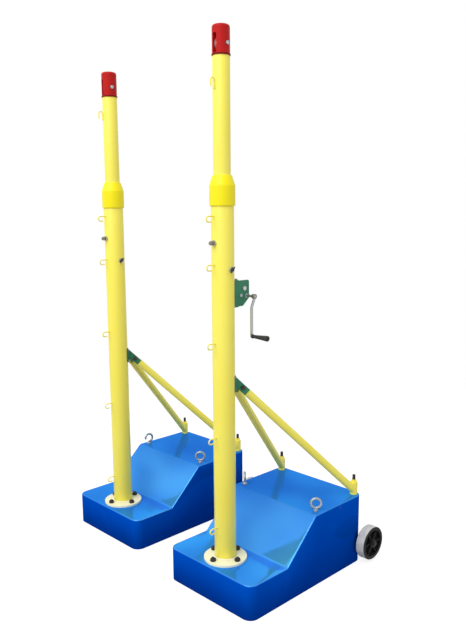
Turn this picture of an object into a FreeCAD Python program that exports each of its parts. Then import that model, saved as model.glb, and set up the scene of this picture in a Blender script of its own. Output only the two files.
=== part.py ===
import FreeCAD, Part
import math
import os
import re
import types

import Sketcher

# A pair of movable net posts on ballasted, wheeled bases: one with a geared winch, one plain.
# Millimetres. Z is up and the floor is Z = 0. The winch post's axis is X = 0, Y = 0.
# X runs along a base from its low front to its high rear; the plain post stands off along +Y.

Vector = FreeCAD.Vector
Rotation = FreeCAD.Rotation

SIZES = {
    # how the second post stands from the first
    "pair_offset": 50,
    "pair_spacing": 890,
    "plain_lowering": 60,
    "plain_turn": -14,
    # sheet-steel base, measured from its front wall
    "base_length": 826,
    "base_width": 556,
    "base_front": 117,
    "deck_height": 166,
    "rear_height": 356,
    "ramp_start": 247,
    "ramp_end": 450,
    "sheet_wall": 4,
    "corner_radius": 45,
    "bend_radius": 18,
    "rim_radius": 7,
    "fit_gap": 0.3,
    "plate_thickness": 5,
    # ballast block on the bottom plate
    "ballast_length": 300,
    "ballast_width": 440,
    "ballast_depth": 130,
    "ballast_setback": 70,
    "ballast_chamfer": 12,
    # lower tube, whose top is measured from the collar's lower edge, and its foot flange
    "post_d": 102,
    "post_wall": 4,
    "post_top": 67,
    "flange_d": 204,
    "flange_thickness": 12,
    "flange_chamfer": 2,
    "weld_leg": 6,
    "flange_bolt_circle": 160,
    "flange_bolt_count": 4,
    "flange_bolt_d": 16,
    "flange_bolt_proud": 5,
    "flange_bolt_flats": 24,
    "flange_bolt_head": 10,
    "flange_nut_height": 13,
    "bolt_hole_gap": 0.5,
    "thread_gap": 0.05,
    # guide collar on the lower tube's mouth, whose lower edge is measured from the knob screw
    "collar_d": 114,
    "collar_bottom": 159,
    "collar_straight": 87,
    "collar_taper": 43,
    "collar_neck_d": 86,
    "collar_rounding": 3,
    "press_gap": 0.1,
    # telescopic mast
    "mast_d": 76,
    "mast_wall": 3,
    "mast_length": 1014,
    "mast_top": 2426,
    "slide_gap": 0.3,
    "guide_height": 30,
    # pulley head that plugs into the mast
    "head_d": 77,
    "head_height": 124,
    "head_rounding": 12,
    "head_lip_d": 81,
    "head_lip_height": 6,
    "spigot_length": 60,
    "spigot_wall": 8,
    "slot_width": 20.5,
    "slot_sill": 8,
    "slot_height": 80,
    "slot_rounding": 6,
    "pulley_height": 47,
    "pulley_d": 60,
    "pulley_width": 17,
    "pulley_groove": 8,
    "pulley_rim": 2,
    "pulley_bolt_d": 10,
    "pulley_bolt_flats": 16,
    "pulley_bolt_head": 6.5,
    "spot_face_d": 22,
    "spot_face_flat": 36,
    "spin_gap": 0.06,
    # bent-wire hooks for the net's ties, the fifth measured from the knob screw below it
    "hook_wire_d": 6,
    "hook_radius": 12,
    "hook_leg": 33,
    "hook_return": 16,
    "winch_hook_first": 322,
    "winch_hook_second": 755,
    "winch_hook_third": 1191,
    "winch_hook_fourth": 1539,
    "plain_hook_first": 316,
    "plain_hook_second": 737,
    "plain_hook_third": 1135,
    "plain_hook_fourth": 1522,
    "hook_fifth": 103,
    # crook-shaped hooks on the masts, measured down from a mast's top
    "crook_wire_d": 6,
    "crook_radius": 10,
    "crook_leg": 34,
    "crook_lip": 26,
    "crook_gap": 0.2,
    "winch_crook_drop": 102,
    "plain_crook_drop": 82,
    # clamp screws that lock the mast, the T-screw measured from the guide ring below it
    "screw_d": 12,
    "screw_boss_height": 8,
    "screw_boss_flats": 24,
    "knob_screw_height": 1646,
    "knob_flats": 16,
    "knob_thickness": 15,
    "knob_gap": 3,
    "knob_rounding": 1.5,
    "t_screw_height": 88,
    "t_screw_reach": 17,
    "t_bar_d": 7,
    "t_bar_length": 34,
    "t_bar_tilt": 48,
    # brace bracket on the lower tube, and the two braces down to the rear corners
    "bracket_height": 1010,
    "bracket_reach": 62,
    "bracket_half_spread": 16,
    "bracket_sheet": 5,
    "bracket_saddle_height": 70,
    "bracket_saddle_sweep": 120,
    "cheek_width": 32,
    "cheek_end_gap": 1,
    "tongue_width": 26,
    "tongue_thickness": 14,
    "tongue_start": 22,
    "tongue_gap": 0.3,
    "brace_d": 38,
    "brace_wall": 3,
    "brace_start": 74,
    "brace_plug": 8,
    "brace_foot_setback": 34,
    "brace_foot_inset": 33,
    "brace_foot_height": 20,
    "sleeve_height": 64,
    "brace_bolt_d": 12,
    "brace_bolt_at": 38,
    "brace_bolt_flats": 19,
    "brace_bolt_head": 7.5,
    "brace_bolt_proud": 2,
    # studs that bolt the braces to the base
    "stud_d": 16,
    "stud_head_flats": 24,
    "stud_head": 10,
    "stud_rise": 38,
    "foot_nut_washer_d": 32,
    "foot_nut_washer": 3,
    "foot_nut_height": 13,
    # lifting eyes at the top of the ramp: open ones on the left, closed ones on the right
    "eye_radius": 24,
    "eye_wire_d": 13,
    "eye_stem_d": 12,
    "open_eye_sweep": 290,
    "closed_eye_sweep": 360,
    "winch_open_eye_turn": 45,
    "plain_open_eye_turn": -8,
    "winch_closed_eye_turn": -45,
    "plain_closed_eye_turn": -45,
    "eye_setback": 42,
    "eye_inset": 38,
    "eye_rise": 14,
    "eye_collar_d": 26,
    "eye_collar": 5,
    "eye_shank": 18,
    "eye_nut_flats": 19,
    "eye_nut_height": 10,
    # transport wheels behind the rear wall
    "axle_behind": 13,
    "axle_height": 100,
    "axle_d": 24,
    "axle_journal_d": 20,
    "axle_thread_d": 16,
    "axle_thread_length": 16,
    "axle_bracket_radius": 24,
    "axle_bracket_thickness": 8,
    "axle_bracket_spread": 400,
    "wheel_d": 170,
    "wheel_width": 48,
    "wheel_standoff": 14,
    "tyre_thickness": 8,
    "tyre_chamfer": 3,
    "rim_thickness": 9,
    "hub_boss_d": 44,
    "wheel_web": 10,
    "wheel_rib": 5,
    "wheel_rib_count": 6,
    "wheel_play": 0.5,
    "wheel_washer_d": 30,
    "wheel_washer": 3,
    "wheel_nut_flats": 24,
    "wheel_nut_height": 12,
    # winch: saddle and frame
    "saddle_bottom": 1359,
    "saddle_height": 122,
    "saddle_width": 76,
    "saddle_sheet": 6,
    "saddle_reach": 60,
    "saddle_skirt": 24,
    "frame_sheet": 3.5,
    "frame_depth": 66,
    "frame_bottom": 1362,
    "frame_height": 116,
    "frame_nose": 22,
    "frame_cut": 35,
    "frame_rounding": 10,
    "frame_bolt_d": 8,
    "frame_bolt_spacing": 84,
    "frame_bolt_flats": 13,
    "frame_bolt_head": 5.3,
    # winch: gear pair and drum
    "gear_module": 1.75,
    "gear_teeth": 30,
    "pinion_teeth": 12,
    "pressure_angle": 25,
    "tooth_share": 0.9,
    "addendum_share": 0.8,
    "dedendum_share": 1.1,
    "gear_width": 9,
    "gear_side_gap": 3,
    "drum_reach": 93,
    "drum_height": 1441,
    "pinion_angle": -68,
    "drum_core_d": 24,
    "drum_flange_d": 52,
    "drum_flange": 3,
    "drum_flange_gap": 13,
    "drum_axle_d": 12,
    "drum_axle_flats": 19,
    "drum_axle_head": 7,
    # winch: pinion shaft, ratchet and pawl
    "shaft_d": 12,
    "shaft_tail": 5,
    "shaft_ring_d": 18,
    "shaft_ring": 2,
    "shaft_ring_gap": 0.5,
    "ratchet_teeth": 8,
    "ratchet_d": 30,
    "ratchet_tooth": 3.5,
    "ratchet_width": 6,
    "ratchet_side_gap": 1.5,
    "pawl_back": 34,
    "pawl_up": 4,
    "pawl_seat_gap": 0.4,
    "pawl_lift": 6.5,
    "pawl_eye_d": 12,
    "pawl_root": 8,
    "pawl_pin_d": 8,
    "pawl_tip": 1.6,
    # winch: crank
    "crank_hub_d": 22,
    "crank_hub_length": 16,
    "crank_hub_at": 42,
    "crank_bar": 6,
    "crank_bar_width": 14,
    "crank_length": 182,
    "crank_clearance": 1.5,
    "crank_bend_start": 14,
    "crank_bend_end": 52,
    "grip_length": 96,
    "grip_pin_d": 10,
    "grip_root_d": 20,
    "grip_neck_d": 16,
    "grip_end_d": 26,
    "grip_root": 7,
    "grip_gap": 1,
    "grip_rounding": 3,
    "grip_rivet_d": 14,
    "grip_rivet": 3,
}

doc = FreeCAD.newDocument("net_posts")
sheet = doc.addObject("Spreadsheet::Sheet", "Sizes")
for row, (alias, number) in enumerate(SIZES.items(), start=1):
    sheet.set(f"A{row}", alias)
    sheet.set(f"B{row}", str(number))
    sheet.setAlias(f"B{row}", alias)
doc.recompute()
D = types.SimpleNamespace(**{alias: float(sheet.get(alias)) for alias in SIZES})

SUB_PARTS = []


def size(name):
    """A size, by its name."""
    return getattr(D, name)


def keep(item, label):
    """Names a finished sub-part; its label is its file's name."""
    item.Label = label
    SUB_PARTS.append(item)
    return item


def bind(item, prop, text):
    """Binds a property to an expression in which every size is a cell of the sheet."""
    item.setExpression(prop, re.sub(r"[a-z][a-z_]*", lambda m: sheet_name(m.group(0)), text))


def sheet_name(word):
    """A size's name as an expression writes it; any other word stays as it is."""
    return f"Sizes.{word}" if word in SIZES else word


def place(item, x="0", y="0", z="0", turn=None):
    """Sets an item's turn and binds its three coordinates."""
    item.Placement = FreeCAD.Placement(Vector(0, 0, 0), turn or Rotation())
    bind(item, "Placement.Base.x", x)
    bind(item, "Placement.Base.y", y)
    bind(item, "Placement.Base.z", z)
    return item


def new_body(name):
    """An empty solid body."""
    return doc.addObject("PartDesign::Body", name)


def new_sketch(body, plane, name="sketch"):
    """A sketch on one of a body's own origin planes, named by its role."""
    sketch = body.newObject("Sketcher::SketchObject", name)
    support = next(f for f in body.Origin.OriginFeatures if f.Role == plane)
    sketch.AttachmentSupport = [(support, "")]
    sketch.MapMode = "FlatFace"
    return sketch


# spacing of a sketch's points before its constraints move them to their places
DRAFT_SIZE = 10


def outline(body, plane, corners, name="outline"):
    """A closed sketch of straight lines whose corners are pairs of expressions."""
    sketch = new_sketch(body, plane, name)
    count = len(corners)
    angles = [2 * math.pi * i / count for i in range(count)]
    start = [Vector(DRAFT_SIZE * math.cos(a), DRAFT_SIZE * math.sin(a), 0) for a in angles]
    for i in range(count):
        sketch.addGeometry(Part.LineSegment(start[i], start[(i + 1) % count]), False)
    for i in range(count):
        sketch.addConstraint(Sketcher.Constraint("Coincident", i, 2, (i + 1) % count, 1))
    for i, (across, up) in enumerate(corners):
        for kind, first, text in (("DistanceX", start[i].x, across), ("DistanceY", start[i].y, up)):
            index = sketch.addConstraint(Sketcher.Constraint(kind, -1, 1, i, 1, first))
            bind(sketch, f"Constraints[{index}]", text)
    return sketch


def circles(body, plane, rings, name="circles"):
    """A sketch of circles, each an (across, up, radius) of expressions."""
    sketch = new_sketch(body, plane, name)
    for i, (across, up, radius) in enumerate(rings):
        sketch.addGeometry(Part.Circle(Vector(DRAFT_SIZE * i, 0, 0), Vector(0, 0, 1), 1.0), False)
        for kind, text in (("DistanceX", across), ("DistanceY", up)):
            index = sketch.addConstraint(Sketcher.Constraint(kind, -1, 1, i, 3, 1.0))
            bind(sketch, f"Constraints[{index}]", text)
        index = sketch.addConstraint(Sketcher.Constraint("Radius", i, 1.0))
        bind(sketch, f"Constraints[{index}]", radius)
    return sketch


def pad(body, sketch, length, both_ways=False):
    """Raises a sketch by a bound length, to one side or evenly to both."""
    feature = body.newObject("PartDesign::Pad", "pad")
    feature.Profile = sketch
    feature.Midplane = both_ways
    bind(feature, "Length", length)
    return feature


def pocket_through(body, sketch):
    """Cuts a sketch right through the body, to both sides of its plane."""
    feature = body.newObject("PartDesign::Pocket", "pocket")
    feature.Profile = sketch
    feature.Type = "ThroughAll"
    feature.Midplane = True
    return feature


def revolve(body, corners):
    """Turns an outline of (radius, height) corners about the body's Z axis."""
    sketch = outline(body, "XZ_Plane", corners, "profile")
    feature = body.newObject("PartDesign::Revolution", "turned")
    feature.Profile = sketch
    feature.ReferenceAxis = (sketch, ["V_Axis"])
    feature.Angle = 360
    return feature


def edges_where(feature, test):
    """Names of a feature's edges that pass a test, once the document is up to date."""
    doc.recompute()
    return [f"Edge{i}" for i, edge in enumerate(feature.Shape.Edges, 1) if test(edge)]


def round_edges(body, feature, radius, test, kind="PartDesign::Fillet", prop="Radius"):
    """Rounds or chamfers the edges of a body's feature that pass a test."""
    dressed = body.newObject(kind, "dressed")
    dressed.Base = (feature, edges_where(feature, test))
    bind(dressed, prop, radius)
    return dressed


def ring_at(height, radius):
    """Test for a full circle about Z at a height and a radius."""

    def test(edge):
        box = edge.BoundBox
        level = abs(box.ZMin - height) < 0.01 and abs(box.ZMax - height) < 0.01
        return level and abs(box.XMax - radius) < 0.01 and abs(box.XMin + radius) < 0.01

    return test


def turned(name, corners):
    """A body turned from an outline of (radius, height) corners."""
    body = new_body(name)
    revolve(body, corners)
    return body


def cylinder(name, radius, height):
    """A primitive cylinder about Z with bound sizes."""
    item = doc.addObject("Part::Cylinder", name)
    bind(item, "Radius", radius)
    bind(item, "Height", height)
    return item


def box(name, length, width, height):
    """A primitive box with bound sizes."""
    item = doc.addObject("Part::Box", name)
    bind(item, "Length", length)
    bind(item, "Width", width)
    bind(item, "Height", height)
    return item


def hexagon(name, flats, height):
    """A primitive hexagonal prism about Z, given its width across flats."""
    item = doc.addObject("Part::Prism", name)
    item.Polygon = 6
    bind(item, "Circumradius", f"({flats}) / sqrt(3)")
    bind(item, "Height", height)
    return item


def fused(name, items):
    """One solid from several touching or overlapping ones."""
    item = doc.addObject("Part::MultiFuse", name)
    item.Shapes = items
    item.Refine = True
    return item


def cut(name, base, tools):
    """A solid less one or more others."""
    item = doc.addObject("Part::Cut", name)
    item.Base = base
    item.Tool = tools[0] if len(tools) == 1 else fused(f"{name}_tools", tools)
    return item


def group(name, pattern_places):
    """Separate solids in one sub-part: copies of finished patterns at given placements."""
    doc.recompute()
    solids = []
    for pattern, placement in pattern_places:
        copy = pattern.Shape.copy()
        copy.Placement = placement.multiply(copy.Placement)
        solids.extend(copy.Solids)
    item = doc.addObject("Part::Feature", name)
    item.Shape = Part.makeCompound(solids)
    return item


def at(x=0.0, y=0.0, z=0.0, turn=None):
    """A placement from three numbers and a turn."""
    return FreeCAD.Placement(Vector(x, y, z), turn or Rotation())


def facing(direction):
    """The turn that takes +Z to a direction."""
    return Rotation(Vector(0, 0, 1), direction)


TO_FRONT = facing(Vector(-1, 0, 0))
TO_RIGHT = Rotation(Vector(1, 0, 0), 90)
TO_LEFT = Rotation(Vector(1, 0, 0), -90)
UPSIDE_DOWN = Rotation(Vector(1, 0, 0), 180)

POSTS = (
    types.SimpleNamespace(name="winch", x="0", y="0", lowering="0", turn=0.0),
    types.SimpleNamespace(
        name="plain", x="pair_offset", y="pair_spacing", lowering="plain_lowering", turn=D.plain_turn
    ),
)
POST_XY = {"winch": Vector(0, 0, 0), "plain": Vector(D.pair_offset, D.pair_spacing, 0)}
REAR = "base_length - base_front"
REAR_X = D.base_length - D.base_front
HALF_WIDTH = D.base_width / 2
SIDES = (1, -1)
COLLAR_LEVEL = "knob_screw_height + collar_bottom"
T_SCREW_LEVEL = "mast_top - mast_length + guide_height + t_screw_height"
T_SCREW_Z = D.mast_top - D.mast_length + D.guide_height + D.t_screw_height


def stand(item, post, z="0", turn=None):
    """Stands an item on a post's own axis."""
    return place(item, post.x, post.y, z, turn)


def hex_bolt(name, shank, length, flats, head):
    """A bolt about Z: its head stands on Z = 0 and its shank hangs below."""
    stem = cylinder(f"{name}_shank", f"({shank}) / 2", length)
    place(stem, z=f"-({length})")
    return fused(name, [hexagon(f"{name}_head", flats, head), stem])


def hex_nut(name, bore, flats, height):
    """A nut about Z that hangs below Z = 0, bored clear of its thread."""
    block = place(hexagon(f"{name}_block", flats, height), z=f"-({height})")
    hole = cylinder(f"{name}_hole", f"({bore}) / 2 + thread_gap", f"3 * ({height})")
    place(hole, z=f"-2 * ({height})")
    return cut(name, block, [hole])


def base_shell(post):
    """Folded sheet-steel box: low deck, ramp and high rear, open below."""
    body = new_body(f"{post.name}_base_shell_body")
    profile = outline(body, "XZ_Plane", [
        ("-base_front", "0"),
        (REAR, "0"),
        (REAR, "rear_height"),
        ("ramp_end - base_front", "rear_height"),
        ("ramp_start - base_front", "deck_height"),
        ("-base_front", "deck_height"),
    ], "side_view")
    block = pad(body, profile, "base_width", both_ways=True)
    bends = round_edges(body, block, "bend_radius", is_ramp_bend)
    corners = round_edges(body, bends, "corner_radius", is_upright)
    rims = round_edges(body, corners, "rim_radius", is_front_rim)
    doc.recompute()
    wall = body.newObject("PartDesign::Thickness", "wall")
    below = [f"Face{i}" for i, f in enumerate(rims.Shape.Faces, 1) if f.BoundBox.ZMax < 0.01]
    wall.Base = (rims, below)
    bind(wall, "Value", "sheet_wall")
    pocket_through(body, circles(body, "XY_Plane", shell_holes(), "bolt_holes"))
    return keep(stand(body, post), f"{post.name}_base_shell")


def is_ramp_bend(edge):
    """The two bends across the base, at the ramp's foot and at its top."""
    span = edge.BoundBox
    across = span.YLength > D.base_width / 2 and span.XLength < 0.01
    foot = abs(span.XMin - (D.ramp_start - D.base_front)) < 0.01
    top = abs(span.XMin - (D.ramp_end - D.base_front)) < 0.01
    return across and (foot or top)


def is_upright(edge):
    """The four upright corners of the base."""
    span = edge.BoundBox
    return span.ZLength > D.deck_height / 2 and span.XLength < 0.01 and span.YLength < 0.01


def is_front_rim(edge):
    """The deck's front edge, from which the rounding follows the whole rim."""
    span = edge.BoundBox
    return span.ZMin > D.deck_height - 0.01 and span.XMax < 0.01 - D.base_front


def shell_holes():
    """Holes for the flange bolts, the brace studs and the eyes."""
    bolt_radius = "flange_bolt_d / 2 + bolt_hole_gap"
    pitch = "flange_bolt_circle / 2"
    rings = [(pitch, "0", bolt_radius), (f"-{pitch}", "0", bolt_radius)]
    rings += [("0", pitch, bolt_radius), ("0", f"-{pitch}", bolt_radius)]
    for sign in ("", "-"):
        rings.append((f"{REAR} - brace_foot_setback",
                      f"{sign}(base_width / 2 - brace_foot_inset)",
                      "stud_d / 2 + bolt_hole_gap"))
        rings.append(("ramp_end - base_front + eye_setback",
                      f"{sign}(base_width / 2 - eye_inset)",
                      "eye_stem_d / 2 + bolt_hole_gap"))
    return rings


def base_plates():
    """Bottom plates let into the skirts of the two bases."""
    body = new_body("base_plate_pattern")
    edge = "(sheet_wall + fit_gap)"
    front = f"-base_front + {edge}"
    rear = f"{REAR} - {edge}"
    side = f"(base_width / 2 - {edge})"
    sketch = outline(body, "XY_Plane", [
        (front, f"-{side}"), (rear, f"-{side}"), (rear, side), (front, side),
    ])
    block = pad(body, sketch, "plate_thickness")
    round_edges(body, block, f"corner_radius - {edge}", is_plate_corner)
    return keep(group("base_plates", on_posts(body)), "base_plates")


def is_plate_corner(edge):
    """An upright edge of a plate or block."""
    span = edge.BoundBox
    return span.ZLength > 0.01 and span.XLength < 0.01 and span.YLength < 0.01


def on_posts(pattern, places=None):
    """A pattern repeated on both posts, at places measured from each post's axis."""
    placements = []
    for post in POSTS:
        for placement in places or [at()]:
            shift = FreeCAD.Placement(POST_XY[post.name], Rotation())
            placements.append((pattern, shift.multiply(placement)))
    return placements


def ballast_blocks():
    """Cast blocks that stand on the bottom plates under the high rear."""
    body = new_body("ballast_pattern")
    front = f"{REAR} - ballast_setback - ballast_length"
    rear = f"{REAR} - ballast_setback"
    side = "ballast_width / 2"
    sketch = outline(body, "XY_Plane", [
        (front, f"-{side}"), (rear, f"-{side}"), (rear, side), (front, side),
    ])
    block = pad(body, sketch, "ballast_depth")
    round_edges(body, block, "ballast_chamfer", is_plate_corner, "PartDesign::Chamfer", "Size")
    place(body, z="plate_thickness")
    return keep(group("ballast_blocks", on_posts(body)), "ballast_blocks")


def lower_tube(post):
    """The fixed tube, drilled for the two clamp screws."""
    body = new_body(f"{post.name}_lower_tube_body")
    wall = circles(body, "XY_Plane", [("0", "0", "post_d / 2"), ("0", "0", "post_d / 2 - post_wall")])
    pad(body, wall, f"{COLLAR_LEVEL} + post_top - deck_height")
    stand(body, post, "deck_height")
    drills = []
    screws = (("knob", "knob_screw_height", TO_FRONT), ("t_screw", T_SCREW_LEVEL, TO_RIGHT))
    for screw, height, turn in screws:
        drill = cylinder(f"{post.name}_{screw}_drill", "screw_d / 2 + bolt_hole_gap", "post_d")
        drills.append(stand(drill, post, height, turn))
    return keep(cut(f"{post.name}_lower_tube", body, drills), f"{post.name}_lower_tube")


def foot_flanges():
    """Round flanges welded to the tubes' feet and bolted to the decks."""
    body = new_body("flange_pattern")
    bore = "post_d / 2 + press_gap"
    revolve(body, [
        (bore, "0"),
        ("flange_d / 2", "0"),
        ("flange_d / 2", "flange_thickness - flange_chamfer"),
        ("flange_d / 2 - flange_chamfer", "flange_thickness"),
        (f"{bore} + weld_leg", "flange_thickness"),
        (bore, "flange_thickness + weld_leg"),
    ])
    hole = pocket_through(body, circles(body, "XY_Plane", [
        ("flange_bolt_circle / 2", "0", "flange_bolt_d / 2 + bolt_hole_gap"),
    ]))
    pattern = body.newObject("PartDesign::PolarPattern", "bolt_circle")
    pattern.Originals = [hole]
    pattern.Axis = (next(f for f in body.Origin.OriginFeatures if f.Role == "Z_Axis"), [""])
    pattern.Angle = 360
    bind(pattern, "Occurrences", "flange_bolt_count")
    body.Tip = pattern
    place(body, z="deck_height")
    return keep(group("foot_flanges", on_posts(body)), "foot_flanges")


def flange_bolts():
    """Bolts up through the decks and flanges, with their nuts on top."""
    through = "sheet_wall + flange_thickness + flange_nut_height + flange_bolt_proud"
    bolt = hex_bolt("flange_bolt_pattern", "flange_bolt_d", through, "flange_bolt_flats", "flange_bolt_head")
    nut = hex_nut("flange_nut_pattern", "flange_bolt_d", "flange_bolt_flats", "flange_nut_height")
    under = D.deck_height - D.sheet_wall
    top = D.deck_height + D.flange_thickness + D.flange_nut_height
    count = int(D.flange_bolt_count)
    angles = [2 * math.pi * i / count for i in range(count)]
    spots = [Vector(math.cos(a), math.sin(a), 0) * (D.flange_bolt_circle / 2) for a in angles]
    places = on_posts(bolt, [at(p.x, p.y, under, UPSIDE_DOWN) for p in spots])
    places += on_posts(nut, [at(p.x, p.y, top) for p in spots])
    return keep(group("flange_bolts", places), "flange_bolts")


def collar(post):
    """Tapered guide collar: sits on the lower tube's mouth, and the mast slides in it."""
    body = new_body(f"{post.name}_collar_body")
    grip = "post_d / 2 + press_gap"
    slide = "mast_d / 2 + slide_gap"
    seat = "post_top"
    crown = "collar_straight + collar_taper"
    shape = revolve(body, [
        (grip, "0"), ("collar_d / 2", "0"), ("collar_d / 2", "collar_straight"),
        ("collar_neck_d / 2", crown), (slide, crown), (slide, seat), (grip, seat),
    ])
    round_edges(body, shape, "collar_rounding", ring_at(0, D.collar_d / 2))
    return keep(stand(body, post, COLLAR_LEVEL), f"{post.name}_collar")


def mast_level(post, above):
    """A height measured from the top of a post's mast."""
    return f"mast_top - {post.lowering} + ({above})"


def mast_turn(post):
    """How far a mast stands turned about its own axis."""
    return Rotation(Vector(0, 0, 1), post.turn)


def mast_tube(post):
    """The sliding tube."""
    body = new_body(f"{post.name}_mast_tube_body")
    wall = circles(body, "XY_Plane", [("0", "0", "mast_d / 2"), ("0", "0", "mast_d / 2 - mast_wall")])
    pad(body, wall, "mast_length")
    place_z = mast_level(post, "-mast_length")
    return keep(stand(body, post, place_z, mast_turn(post)), f"{post.name}_mast_tube")


def guide_ring(post):
    """Ring on the mast's lower end that runs in the lower tube."""
    outer = "post_d / 2 - post_wall - slide_gap"
    body = turned(f"{post.name}_guide_ring_body", [
        ("mast_d / 2", "0"), (f"{outer} - collar_rounding", "0"), (outer, "collar_rounding"),
        (outer, "guide_height - collar_rounding"), (f"{outer} - collar_rounding", "guide_height"),
        ("mast_d / 2", "guide_height"),
    ])
    return keep(stand(body, post, mast_level(post, "-mast_length")), f"{post.name}_guide_ring")


def pulley_head(post):
    """Red head: plugs into the mast, slotted front to rear for the pulley."""
    spigot = "mast_d / 2 - mast_wall - press_gap"
    body = new_body(f"{post.name}_pulley_head_body")
    shape = revolve(body, [
        ("0", "0"),
        (f"{spigot} - spigot_wall", "0"),
        (f"{spigot} - spigot_wall", "-spigot_length"),
        (spigot, "-spigot_length"),
        (spigot, "0"),
        ("head_lip_d / 2", "0"),
        ("head_lip_d / 2", "head_lip_height"),
        ("head_d / 2", "head_lip_height"),
        ("head_d / 2", "head_height"),
        ("0", "head_height"),
    ])
    round_edges(body, shape, "head_rounding", ring_at(D.head_height, D.head_d / 2))
    slot = slot_cutter(post)
    bore = cylinder(f"{post.name}_head_bore", "pulley_bolt_d / 2 + thread_gap", "2 * head_d")
    place(bore, y="head_d", z="pulley_height", turn=TO_RIGHT)
    faces = []
    for side in SIDES:
        face = cylinder(f"{post.name}_spot_face_{side + 1}", "spot_face_d / 2", "head_d")
        turn = TO_LEFT if side > 0 else TO_RIGHT
        faces.append(place(face, y=f"{side} * spot_face_flat", z="pulley_height", turn=turn))
    head = cut(f"{post.name}_pulley_head", body, [slot, bore, *faces])
    return keep(stand(head, post, mast_level(post, "0"), mast_turn(post)), f"{post.name}_pulley_head")


def slot_cutter(post):
    """The shape of the slot that runs through the head along X."""
    body = new_body(f"{post.name}_slot_cutter")
    top = "slot_sill + slot_height"
    half = "slot_width / 2"
    sketch = outline(body, "YZ_Plane", [
        (f"-{half}", "slot_sill"), (half, "slot_sill"), (half, top), (f"-{half}", top),
    ])
    block = pad(body, sketch, "2 * head_d", both_ways=True)
    round_edges(body, block, "slot_rounding", lambda e: e.BoundBox.XLength > D.head_d)
    return body


def pulley(post):
    """Grooved pulley on the head's cross bolt."""
    half = "pulley_width / 2"
    rim = "pulley_d / 2"
    floor = f"{rim} - pulley_groove"
    bore = "pulley_bolt_d / 2 + spin_gap"
    body = turned(f"{post.name}_pulley_body", [
        (bore, f"-{half}"), (rim, f"-{half}"), (rim, f"-{half} + pulley_rim"),
        (floor, "-pulley_rim"), (floor, "pulley_rim"),
        (rim, f"{half} - pulley_rim"), (rim, half), (bore, half),
    ])
    turn = mast_turn(post).multiply(TO_RIGHT)
    return keep(stand(body, post, mast_level(post, "pulley_height"), turn), f"{post.name}_pulley")


def pulley_bolt(post):
    """Cross bolt and nut, seated on the head's spot faces."""
    bolt = hex_bolt(f"{post.name}_pulley_bolt_body", "pulley_bolt_d",
                    "2 * spot_face_flat + pulley_bolt_head", "pulley_bolt_flats", "pulley_bolt_head")
    nut = hex_nut(f"{post.name}_pulley_nut_body", "pulley_bolt_d", "pulley_bolt_flats",
                  "pulley_bolt_head")
    level = D.mast_top - (D.plain_lowering if post.name == "plain" else 0) + D.pulley_height
    spot = POST_XY[post.name] + Vector(0, 0, level)
    turned_mast = FreeCAD.Placement(spot, mast_turn(post))
    head = turned_mast.multiply(at(0, -D.spot_face_flat, 0, TO_RIGHT))
    tail = turned_mast.multiply(at(0, D.spot_face_flat, 0, TO_RIGHT))
    item = group(f"{post.name}_pulley_bolt", [(bolt, head), (nut, tail)])
    return keep(item, f"{post.name}_pulley_bolt")


def bent_wire(name, edges, diameter):
    """Round wire along a line of edges, from the start of the first one."""
    first = edges[0]
    along = first.tangentAt(first.FirstParameter)
    start = first.valueAt(first.FirstParameter)
    section = Part.Wire(Part.makeCircle(diameter / 2, start, along))
    item = doc.addObject("Part::Feature", name)
    item.Shape = Part.Wire(edges).makePipeShell([section], True, True)
    return item


def wire_hook():
    """Wire that leaves the tube at X = 0, bows outward along -X and turns back below."""
    radius = D.hook_radius
    out = Vector(-D.hook_leg, 0, radius)
    bow = Vector(-D.hook_leg - radius, 0, 0)
    back = Vector(-D.hook_leg, 0, -radius)
    edges = [
        Part.LineSegment(Vector(0, 0, radius), out).toShape(),
        Part.Arc(out, bow, back).toShape(),
        Part.LineSegment(back, back + Vector(D.hook_return, 0, 0)).toShape(),
    ]
    return bent_wire("hook_pattern", edges, D.hook_wire_d)


def crook():
    """Wire that runs up the tube at X = 0, arches outward along -X and ends in a lip."""
    inner = -D.crook_wire_d / 2 - D.crook_gap
    outer = inner - 2 * D.crook_radius
    rise = Vector(inner, 0, 0)
    crown = Vector((inner + outer) / 2, 0, D.crook_radius)
    fall = Vector(outer, 0, 0)
    edges = [
        Part.LineSegment(rise - Vector(0, 0, D.crook_leg), rise).toShape(),
        Part.Arc(rise, crown, fall).toShape(),
        Part.LineSegment(fall, fall - Vector(0, 0, D.crook_lip)).toShape(),
    ]
    return bent_wire("crook_pattern", edges, D.crook_wire_d)


def net_hooks():
    """Hooks down the fronts of both lower tubes."""
    hook = wire_hook()
    places = []
    for post in POSTS:
        heights = [size(f"{post.name}_hook_{word}") for word in ("first", "second", "third", "fourth")]
        heights.append(D.knob_screw_height + D.hook_fifth)
        for height in heights:
            spot = at(-D.post_d / 2, 0, height)
            places.append((hook, FreeCAD.Placement(POST_XY[post.name], Rotation()).multiply(spot)))
    return keep(group("net_hooks", places), "net_hooks")


def mast_hook(post, hook):
    """The crook on a post's mast."""
    lowering = D.plain_lowering if post.name == "plain" else 0
    level = D.mast_top - lowering - size(f"{post.name}_crook_drop")
    mast = FreeCAD.Placement(POST_XY[post.name] + Vector(0, 0, level), mast_turn(post))
    item = group(f"{post.name}_mast_hook", [(hook, mast.multiply(at(-D.mast_d / 2)))])
    return keep(item, f"{post.name}_mast_hook")


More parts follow.
